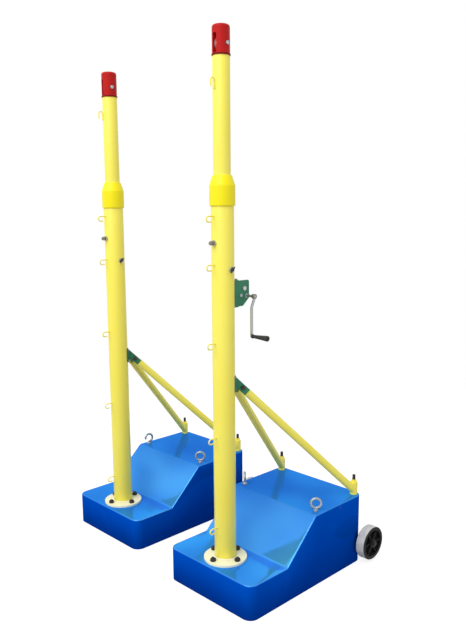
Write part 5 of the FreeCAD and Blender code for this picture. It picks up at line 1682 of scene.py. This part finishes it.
@dataclass
class Welds:
    """Every weld bead besides the ones round the tubes' feet."""

    tube_radius: float = 51 * MM
    mast_radius: float = 38 * MM
    hook_wire: float = 3 * MM
    hook_rise: float = 12 * MM
    hook_leg: float = 2 * MM
    tack_length: float = 22 * MM
    tack_beside: float = 2.6 * MM
    tack_radius: float = 1.9 * MM
    brace_leg: float = 3.5 * MM
    frame_leg: float = 4 * MM
    hook_levels: tuple[float, ...] = (322 * MM, 755 * MM, 1191 * MM, 1539 * MM, 1749 * MM)
    plain_hook_levels: tuple[float, ...] = (316 * MM, 737 * MM, 1135 * MM, 1522 * MM, 1749 * MM)
    bracket_height: float = 1010 * MM
    saddle_half: float = 35 * MM
    saddle_spread: float = 60.0
    saddle_low: float = 1359 * MM
    saddle_high: float = 1481 * MM
    saddle_side: float = 38 * MM
    plate_half: float = 4 * MM
    plate_spread: float = 200 * MM
    plate_radius: float = 24 * MM
    axle_height: float = 100 * MM

    def build(self) -> None:
        """Adds the beads, one piece for each kind."""
        kinds = {
            "hook_welds": (self.hooks, "yellow_paint"),
            "brace_foot_welds": (self.brace_feet, "yellow_paint"),
            "bracket_welds": (self.brackets, "green_paint"),
            "axle_plate_welds": (self.axle_plates, "blue_enamel"),
        }
        for name, (make, slot) in kinds.items():
            beads = [bead for post in Post for bead in make(post)]
            add_piece(name, joined(beads), slot, ROOT_BODY)
        add_piece("winch_saddle_welds", joined(self.winch_saddle()), "green_paint", ROOT_BODY)
        for post in Post:
            add_piece(post.node("crook_tacks"), joined(self.crook(post)), "yellow_paint",
                      post.node("mast"))

    def hooks(self, post: Post) -> list[Surface]:
        """A ring of weld where each hook's wire leaves the tube: a circle bent round the tube."""
        levels = self.hook_levels if post is Post.WINCH else self.plain_hook_levels
        angle = full_turn(48)
        y, z = self.hook_wire * np.cos(angle), self.hook_wire * np.sin(angle)
        x = -np.sqrt(self.tube_radius**2 - y**2)
        wire = points_of(np.zeros_like(y), np.cos(angle), np.sin(angle))
        tube = points_of(x, y, np.zeros_like(y)) / self.tube_radius
        ring = weld_bead(points_of(x, y, z), tube, wire, self.hook_leg, loop=True)
        return [ring.moved(lifted(post.axis + UP * (level + self.hook_rise))) for level in levels]

    def crook(self, post: Post) -> list[Surface]:
        """Two tacks beside the leg of the mast's crook, each a short swelling bead."""
        hook = post.box("mast_hook")
        low = hook.low[2] - post.box("mast_tube").high[2] + 2 * MM
        height = np.linspace(low, low + self.tack_length, 33)
        rise = np.sin(np.linspace(0.15, math.pi - 0.15, len(height))) ** 0.4
        swell = rise * (1 + 0.07 * np.cos(height / MM * 3.4))
        x = np.full(len(height), -self.mast_radius - 1.0 * MM)
        y = np.full(len(height), self.tack_beside)
        paths = [points_of(x, side.value * y, height) for side in Side]
        return [carried(circle(self.tack_radius, 12), path, REARWARD, LEFTWARD, swell)
                .moved(post.mast_frame) for path in paths]

    def brace_feet(self, post: Post) -> list[Surface]:
        """Beads where each brace runs into its upright foot sleeve.

        Two round bars of one radius r, along a and b at an angle t, meet on two half ellipses:
        r cos s across plus r / sin(t / 2) sin s along the line that halves the angle.
        """
        first, gap = 0.12, 1.2
        spans = {
            1.0: [(first, gap), (math.pi - gap, math.pi - first)],
            -1.0: [(first, math.pi - first)],
        }
        parts = []
        for side in Side:
            line = BraceLine(post, side)
            away, radius = -line.direction, line.diameter / 2
            across = unit(np.cross(UP, away))
            for sign, pieces in spans.items():
                sleeve_axis = UP * sign
                half = math.acos(float(sleeve_axis @ away)) / 2
                middle = unit(sleeve_axis + away)
                for low, high in pieces:
                    share = np.linspace(low, high, 60)[:, None]
                    spot = np.cos(share) * across + np.sin(share) / math.sin(half) * middle
                    spot *= radius
                    sleeve = unit(spot - (spot @ UP)[:, None] * UP)
                    brace = unit(spot - (spot @ away)[:, None] * away)
                    parts.append(weld_bead(line.foot + spot, sleeve, brace, self.brace_leg))
        return parts

    def brackets(self, post: Post) -> list[Surface]:
        """Beads along the four edges of the brace bracket's saddle."""
        out = level_arms(np.radians(np.linspace(-self.saddle_spread, self.saddle_spread, 90)))
        middle = post.axis + UP * self.bracket_height
        parts = []
        for sign in (1, -1):
            edge = middle + out * self.tube_radius + UP * self.saddle_half * sign
            parts.append(weld_bead(edge, out, UP * sign, self.brace_leg))
            end = out[-1] * [1, sign, 1]
            rise = np.linspace(-self.saddle_half, self.saddle_half, 60)[:, None] * UP
            facing = np.array([-end[1] * sign, end[0] * sign, 0.0])
            foot = middle + end * self.tube_radius
            parts.append(weld_bead(foot + rise, end, facing, self.brace_leg))
        return parts

    def winch_saddle(self) -> list[Surface]:
        """Upright beads where the winch saddle's two walls stand on the tube."""
        x = math.sqrt(self.tube_radius**2 - self.saddle_side**2)
        parts = []
        for side in Side:
            spot = Post.WINCH.axis + [x + 0.4 * MM, side.value * self.saddle_side, 0]
            rise = np.linspace(self.saddle_low, self.saddle_high, 120)[:, None] * UP
            tube = unit(np.array([x, side.value * self.saddle_side, 0.0]))
            parts.append(weld_bead(spot + rise, tube, LEFTWARD * side.value, self.frame_leg))
        return parts

    def axle_plates(self, post: Post) -> list[Surface]:
        """Upright beads on both faces of each plate that carries the axle."""
        rise = np.linspace(-self.plate_radius, self.plate_radius, 50)[:, None] * UP
        parts = []
        for side in Side:
            for face in (1, -1):
                y = side.value * self.plate_spread + face * self.plate_half
                foot = np.array([post.base.high[0], post.axis[1] + y, self.axle_height])
                parts.append(weld_bead(foot + rise, REARWARD, LEFTWARD * face, self.frame_leg))
        return parts


@dataclass
class MastTop:
    """The grooved pulley and cross bolt at a mast's head, and a dark band of painted shade at its
    foot.
    """

    post: Post
    height: float = 47 * MM
    radius: float = 30 * MM
    half_width: float = 8.5 * MM
    bore: float = 5.06 * MM
    groove: float = 8 * MM
    spot_face: float = 36 * MM
    lip: float = 40.7 * MM
    lip_height: float = 6 * MM

    def build(self) -> None:
        """Adds the pulley, the bolt and the band of painted shade."""
        mast = self.post.node("mast")
        axle = self.post.mast_frame @ placed(UP * self.height, -LEFTWARD)
        add_piece(self.post.node("grooved_pulley"), self.pulley().moved(axle), "pulley_steel",
                  self.post.node("top_pulley"), [self.post.node("pulley")])
        add_piece(self.post.node("pulley_cross_bolt"), joined(self.cross_bolt(axle)), "zinc_steel",
                  mast, [self.post.node("pulley_bolt")], 30.0)
        # The dark red band round the head's foot is painted shade where the head meets the tube.
        band = drilled_disc(self.lip, self.lip - 1 * MM, -0.1 * MM, self.lip_height + 0.1 * MM,
                            0.4 * MM)
        add_piece(self.post.node("head_foot_band"), band.moved(self.post.mast_frame), "red_paint",
                  mast, finish=HEAD_SHADE_RED)

    def cross_bolt(self, axle: Matrix) -> list[Surface]:
        """The pulley's bolt and nut on the head's two spot faces."""
        length = 2 * self.spot_face + 8 * MM
        bolt = HexBolt(Thread.M10, head=6.5 * MM, length=length, thread=16 * MM)
        nut = HexNut(Thread.M10, height=6.5 * MM)
        return [*bolt.at(axle @ lifted(UP * self.spot_face)),
                *nut.at(axle @ lifted(-UP * self.spot_face) @ UPSIDE_DOWN)]

    def pulley(self) -> Surface:
        """The pulley about Z: a round groove, eased rims, and sides dished between hub and rim."""
        half, rim = self.half_width, 1.6 * MM
        turn = np.linspace(0, math.pi, 17)
        depth = self.groove * np.sin(turn) ** 0.8
        groove = points_of(self.radius - depth, -(half - rim) * np.cos(turn))
        lower = rounded([
            (self.bore, -half, 0), (11 * MM, -half, 0.6 * MM), (13 * MM, -half + 2 * MM, 0.8 * MM),
            (22 * MM, -half + 2 * MM, 0.8 * MM), (24 * MM, -half, 0.6 * MM),
            (self.radius, -half, 0.5 * MM), (self.radius, -half + rim, 0),
        ], 3, closed=False)
        upper = lower[::-1] * [1, -1]
        return turned(np.vstack([lower, groove[1:-1], upper]), 96)


@dataclass
class ClampScrews:
    """One post's two clamp screws: the knob in front and the cross bar on the right."""

    post: Post
    start: float = 38.3 * MM
    neck: float = 62 * MM
    knob_flats: float = 16 * MM
    knob: float = 15 * MM
    knob_ease: float = 1.5 * MM
    bar_reach: float = 63.8 * MM
    bar_end: float = 68 * MM
    bar_d: float = 7 * MM
    bar_length: float = 34 * MM
    bar_tilt: float = 48.0

    def build(self) -> None:
        """Adds both screws."""
        knob, bar = self.post.node("knob_screw"), self.post.node("t_screw")
        add_piece(self.post.node("threaded_knob"), joined(self.knob_screw(self.level(knob))),
                  "zinc_steel", self.post.node("knob"), [knob], 30.0, SHAFT_STEEL)
        add_piece(self.post.node("threaded_t_bar"), joined(self.t_screw(self.level(bar))),
                  "dark_steel", self.post.node("t_handle"), [bar], 30.0)

    def level(self, node: str) -> Array:
        """The point on the post's axis that a packed screw points at."""
        return self.post.axis + UP * Extent.of(node).middle[2]

    def knob_screw(self, middle: Array) -> list[Surface]:
        """A threaded stem and a six-sided knob whose outer edges are well rounded."""
        place = placed(middle, -REARWARD)
        stem = threaded(Thread.M12, self.start, self.neck + 1 * MM)
        angle = full_turn(HEX_COLUMNS)
        side = hexagon_sides(self.knob_flats, angle)
        ease = self.knob_ease
        arc = np.linspace(0, math.pi / 2, 6)
        inset = np.concatenate([ease * (1 - np.sin(arc)), ease * (1 - np.cos(arc))])
        height = np.concatenate([self.neck + ease * (1 - np.cos(arc)),
                                 self.neck + self.knob - ease * (1 - np.sin(arc))])
        head = round_grid(side[None] - inset[:, None], height, angle)
        return moved([stem, head], place)

    def t_screw(self, middle: Array) -> list[Surface]:
        """A threaded stem with a round bar through its end; the bar's ends are domed."""
        place = placed(middle, -LEFTWARD, REARWARD)
        stem = threaded(Thread.M12, self.start, self.bar_end)
        along = np.linspace(-1, 1, 41)
        reach = np.sign(along) * np.abs(along) ** 0.5 * self.bar_length / 2
        swell = domed(self.bar_length / 2 - np.abs(reach), self.bar_d / 2)
        tilt = math.radians(self.bar_tilt)
        line = np.array([math.cos(tilt), math.sin(tilt), 0.0])
        path = reach[:, None] * line + UP * self.bar_reach
        bar = carried(circle(self.bar_d / 2, 20), path, np.cross(line, UP), UP, swell)
        return moved([stem, bar], place)


@dataclass
class Winch:
    """The hand winch: bolts, crank and grip."""

    cheek: float = 38 * MM
    back: float = 63.5 * MM
    bolt_levels: tuple[float, float] = (1378 * MM, 1462 * MM)
    drum_spot: tuple[float, float] = (93 * MM, 1441 * MM)
    pawl_spot: tuple[float, float] = (72.767 * MM, 1410.926 * MM)
    bar: float = 6 * MM
    bar_width: float = 14 * MM
    bend_start: float = 14 * MM
    bend_end: float = 52 * MM
    bend_radius: float = 16 * MM
    length: float = 182 * MM
    upper_face: float = 88 * MM
    lower_face: float = 72.5 * MM
    hub_d: float = 22 * MM
    hub_length: float = 16 * MM
    hub_at: float = 80 * MM
    grip_neck: float = 16 * MM
    grip_root: float = 20 * MM
    ribs: int = 9

    def build(self) -> None:
        """Adds the bolts, the crank's pieces and the grip."""
        add_piece("winch_frame_bolts", joined(self.frame_bolts()), "zinc_steel", ROOT_BODY,
                  ["winch_bolts"], 30.0, PLATED_STEEL)
        add_piece("winch_drum_bolt", joined(self.drum_bolt()), "zinc_steel", ROOT_BODY,
                  ["drum_axle"], 30.0, PLATED_STEEL)
        add_piece("crank_bar", self.crank_bar(), "zinc_steel", "crank", ["crank_arm"])
        add_piece("crank_hub", self.crank_hub(), "zinc_steel", "crank", ["crank_arm"],
                  finish=SHAFT_STEEL)
        add_piece("crank_grip_pin", self.grip_pin(), "dark_steel", "crank", ["crank_arm"])
        add_piece("crank_grip_moulding", self.grip(), "grip_plastic", "grip", ["crank_grip"], 30.0)

    def frame_bolts(self) -> list[Surface]:
        """Two bolts through the frame's back, and the pawl's pin in the right cheek."""
        bolt = HexBolt(Thread.M8, head=5.3 * MM, length=9.5 * MM, thread=6 * MM)
        pin = HexBolt(Thread.M8, head=5.3 * MM, length=12.5 * MM, thread=2 * MM)
        parts = []
        for level in self.bolt_levels:
            spot = Post.WINCH.axis + [self.back, 0, level]
            parts += bolt.at(placed(spot, REARWARD))
        x, z = self.pawl_spot
        return parts + pin.at(placed(Post.WINCH.axis + [x, -self.cheek, z], -LEFTWARD))

    def drum_bolt(self) -> list[Surface]:
        """The drum's bolt across both cheeks, with its nut on the left."""
        length = 2 * self.cheek + 9.5 * MM
        bolt = HexBolt(Thread.M12, head=7 * MM, length=length, thread=16 * MM)
        nut = HexNut(Thread.M12, height=7 * MM)
        x, z = self.drum_spot
        head = placed(Post.WINCH.axis + [x, -self.cheek, z], -LEFTWARD)
        tail = placed(Post.WINCH.axis + [x, self.cheek, z], LEFTWARD)
        return bolt.at(head) + nut.at(tail)

    @property
    def shaft(self) -> Array:
        """Where the crank's shaft crosses the post's middle plane."""
        middle = Extent.of("pinion_shaft").middle
        return np.array([middle[0], Post.WINCH.axis[1], middle[2]])

    def crank_bar(self) -> Surface:
        """The flat bar: a rounded rectangle carried down a bent line, its ends round in plan."""
        top = self.bar_width / 2 + 4 * MM
        low = self.length + self.bar_width / 2
        line = rounded([
            (-self.upper_face, top, 0), (-self.upper_face, -self.bend_start, self.bend_radius),
            (-self.lower_face, -self.bend_end, self.bend_radius), (-self.lower_face, -low, 0),
        ], 8, closed=False)
        travel = np.concatenate([[0], np.cumsum(np.linalg.norm(np.diff(line, axis=0), axis=1))])
        total, radius = travel[-1], self.bar_width / 2
        bow = radius * (1 - np.cos(np.linspace(0.05, math.pi / 2, 12)))
        station = np.unique(np.concatenate([bow, travel[1:-1], total - bow]))
        line = points_of(*(np.interp(station, travel, line[:, k]) for k in range(2)))
        near = np.minimum(station, total - station)
        narrow = np.sqrt(1 - np.clip(1 - near / radius, 0, 1) ** 2)
        tangent = unit(np.gradient(line, axis=0))
        path = self.shaft + np.column_stack([np.zeros(len(line)), line])
        facing = np.column_stack([np.zeros(len(line)), tangent[:, 1], -tangent[:, 0]])
        half, thick, ease = radius, self.bar / 2, 0.9 * MM
        section = rounded([(-half, -thick, ease), (half, -thick, ease), (half, thick, ease),
                           (-half, thick, ease)], 3)
        swell = np.column_stack([narrow, np.ones(len(line))])
        return carried(section, path, REARWARD, facing, swell)

    def crank_hub(self) -> Surface:
        """The hub on the shaft's end, both edges chamfered."""
        outer, bore = self.hub_d / 2, 6.02 * MM
        profile = rounded([
            (bore, 0, 0.6 * MM), (outer, 0, 1.2 * MM),
            (outer, self.hub_length, 1.2 * MM), (bore, self.hub_length, 0.6 * MM),
        ], 3)
        return turned(profile, 64).moved(placed(self.shaft - LEFTWARD * self.hub_at, -LEFTWARD))

    def grip_pin(self) -> Surface:
        """The grip's pin and the domed rivet that keeps the grip on it."""
        root = self.lower_face - self.bar / 2
        end = self.bar + 98 * MM
        profile = rounded([
            (5 * MM, self.bar * 0.5, 0), (5 * MM, end, 0), (7 * MM, end, 0.4 * MM),
            (7 * MM, end + 1.2 * MM, 0.8 * MM), (4 * MM, end + 3 * MM, 2 * MM),
        ], 4, closed=False)
        foot = self.shaft - UP * self.length - LEFTWARD * root
        return turned(profile, 48, ring=False).moved(placed(foot, -LEFTWARD))

    def grip(self) -> Surface:
        """The flared grip: a waist near its root, shallow rings along its length, a rounded end.

        The radius grows along the grip by a smooth step from neck to end, less small even rings.
        """
        extent = Extent.of("crank_grip")
        length = extent.size[1]
        end = extent.size[2] / 2
        along = np.linspace(0, 1, 121)
        step = np.clip((along - 0.12) / 0.8, 0, 1)
        flare = self.grip_neck / 2 + (end - self.grip_neck / 2) * step**1.2
        root = self.grip_root / 2 * np.exp(-((along / 0.1) ** 4))
        radius = np.maximum(flare, root)
        rings = 0.35 * MM * (1 - np.cos(2 * math.pi * self.ribs * step)) / 2
        inside = (along > 0.15) & (along < 0.9)
        close = np.sqrt(np.clip(1 - np.clip((along - 0.96) / 0.04, 0, 1) ** 2, 0, 1))
        radius = (radius - rings * inside) - 3 * MM * (1 - close)
        bore = 5.06 * MM
        outer = points_of(radius, along * length)
        profile = np.vstack([[bore, 0.0], outer, [bore, length]])
        start = np.array([extent.middle[0], extent.high[1], extent.middle[2]])
        return turned(profile, 64).moved(placed(start, -LEFTWARD))


@dataclass(frozen=True)
class StudioFloor(Finish):
    """Pale matt floor that looks white where it is lit, clear beyond a radius.

    Its own glow is only for what is seen directly or in a reflection: it lights nothing.
    """

    middle: tuple[float, float, float]
    glow: float = 0.78
    solid: float = 2.2
    clear: float = 4.5
    tone_cells: float = 2.0
    roughness: float = 0.9
    reflectance: float = 0.1

    def paint(self, graph: Graph, shader: Node) -> None:
        """Two close tones, the glow for what is seen, and the fade towards the clear edge."""
        cloud = graph.effect(Effects.mottle(), Cells=self.tone_cells)
        graph.feed(shader.inputs["Base Color"], graph.blend(cloud, self.deep, self.tone))
        shader.inputs["Roughness"].default_value = self.roughness
        shader.inputs["Specular IOR Level"].default_value = self.reflectance
        away = graph.node("ShaderNodeVectorMath", operation="DISTANCE")
        graph.feed(away.inputs[0], graph.node("ShaderNodeTexCoord").outputs["Object"])
        away.inputs[1].default_value = self.middle
        fade = graph.between(away.outputs["Value"], self.solid, self.clear, to_low=1.0, to_high=0.0)
        graph.feed(shader.inputs["Alpha"], fade)
        shader.inputs["Emission Color"].default_value = WHITE
        glow = graph.maths("MULTIPLY", graph.seen(), self.glow)
        graph.feed(shader.inputs["Emission Strength"], glow)


@dataclass
class Studio:
    """Floor, world, lamp and the photograph's camera."""

    frame_height: int = 632
    focal_pixels: float = 696.07
    centre_row: float = 330.0
    spot: tuple[float, float, float] = (-2.1212, -2.2255, 1.7740)
    heading: float = 45.580
    pitch: float = 9.5336
    roll: float = -0.3818
    world_level: float = 0.66
    key_level: float = 0.81
    key_size: float = 11.0
    key_distance: float = 12.0
    key_direction: tuple[float, float, float] = (0.4, 0.55, 0.73)
    floor_tone: Colour = (0.36, 0.36, 0.36)
    floor_deep: Colour = (0.3546, 0.3546, 0.3546)
    floor_rings: int = 24
    floor_columns: int = 96

    def build(self) -> None:
        """Sets the stage."""
        bpy.context.scene.view_settings.view_transform = "Standard"
        self.camera()
        self.world()
        self.key_lamp()
        self.floor()

    def directions(self) -> tuple[Array, Array]:
        """The camera's forward and right directions over the floor."""
        turn = math.radians(self.heading)
        forward = np.array([math.cos(turn), math.sin(turn), 0.0])
        return forward, np.array([forward[1], -forward[0], 0.0])

    def camera(self) -> None:
        """Stands the camera where the photograph was taken from.

        Its lens gives the fitted focal length in pixels for a picture as high as the sensor, and
        the shift puts the picture's optical centre at its fitted row.
        """
        forward, right = self.directions()
        pitch, roll = math.radians(self.pitch), math.radians(self.roll)
        ahead = forward * math.cos(pitch) - UP * math.sin(pitch)
        up = forward * math.sin(pitch) + UP * math.cos(pitch)
        across = right * math.cos(roll) + up * math.sin(roll)
        above = up * math.cos(roll) - right * math.sin(roll)
        data = bpy.data.cameras.new("photo_camera")
        data.sensor_fit = "VERTICAL"
        data.sensor_height = 24.0
        data.lens = data.sensor_height * self.focal_pixels / self.frame_height
        data.shift_y = (self.centre_row - self.frame_height / 2) / self.frame_height
        place = frame_of(across, above, -ahead, self.spot)
        bpy.context.scene.camera = shown("photo_camera", data, place)

    def world(self) -> None:
        """Even soft light, and plain white wherever the world itself is seen."""
        world = bpy.data.worlds.new("studio_world")
        world.use_nodes = True
        bpy.context.scene.world = world
        graph = Graph(world.node_tree)
        light = world.node_tree.nodes["Background"]
        light.inputs["Color"].default_value = WHITE
        rest = 1.0 - self.world_level
        strength = graph.maths("MULTIPLY_ADD", graph.seen(), rest, self.world_level)
        graph.feed(light.inputs["Strength"], strength)

    def key_lamp(self) -> None:
        """Hangs one large soft box, high, in front and to the left, that looks at the object.

        A white face square to it shines at key_level: the lamp's power is that level times pi
        squared times the distance squared.
        """
        forward, right = self.directions()
        left, near, above = self.key_direction
        direction = unit(-right * left - forward * near + UP * above)
        low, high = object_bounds()
        middle = np.array((low + high) / 2)
        data = bpy.data.lights.new("key_lamp", "AREA")
        data.size = self.key_size
        data.energy = self.key_level * math.pi**2 * self.key_distance**2
        shown("key_lamp", data, placed(middle + direction * self.key_distance, direction))

    def floor(self) -> None:
        """A pale floor that fades into the white world far from the object.

        It is a fan with rings at even distances.
        """
        low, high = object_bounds()
        middle = np.array([(low.x + high.x) / 2, (low.y + high.y) / 2, 0.0])
        rows, columns = self.floor_rings, self.floor_columns
        radius = np.linspace(0.02, StudioFloor.clear + 0.5, rows)
        grid = radius[:, None, None] * level_arms(full_turn(columns)) + middle
        index = np.arange(rows * columns).reshape(rows, columns)
        points = np.vstack([grid.reshape(-1, 3), middle])
        ring = index[0]
        fan = np.column_stack([np.full(columns, rows * columns), ring, np.roll(ring, -1)])
        mesh = bpy.data.meshes.new("studio_floor")
        quads = quads_between(index, wrap_columns=True)[:, ::-1]
        mesh.from_pydata(points.tolist(), [], quads.tolist() + fan.tolist())
        finish = StudioFloor("studio_floor", self.floor_tone, self.floor_deep,
                             tuple(middle.tolist()))
        mesh.materials.append(finish.material())
        shown("studio_floor", mesh)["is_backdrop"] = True


PAINTED_OVER = ("net_hooks", "winch_mast_hook", "plain_mast_hook")


def dress_packed_nodes() -> None:
    """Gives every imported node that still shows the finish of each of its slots."""
    for name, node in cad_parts.items():
        if node.hide_render:
            continue
        for holder in node.material_slots:
            slot = holder.material.name.split(".")[0]
            finish = FINISHES["yellow_paint" if name in PAINTED_OVER else slot]
            holder.material = finish.material()
        log.info("%s: dressed", name)


def main() -> None:
    """Builds the stage and every sub-assembly in order."""
    logging.basicConfig(level=logging.INFO, format="%(name)s %(message)s")
    Studio().build()
    Flanges().build()
    for post in Post:
        SteelBase(post).build()
        Telescope(post).build()
        MastTop(post).build()
        ClampScrews(post).build()
        for side in Side:
            Wheel(post, side).build()
    Fasteners().build()
    LiftingEyes().build()
    Welds().build()
    Winch().build()
    dress_packed_nodes()


if __name__ == "__main__":
    main()
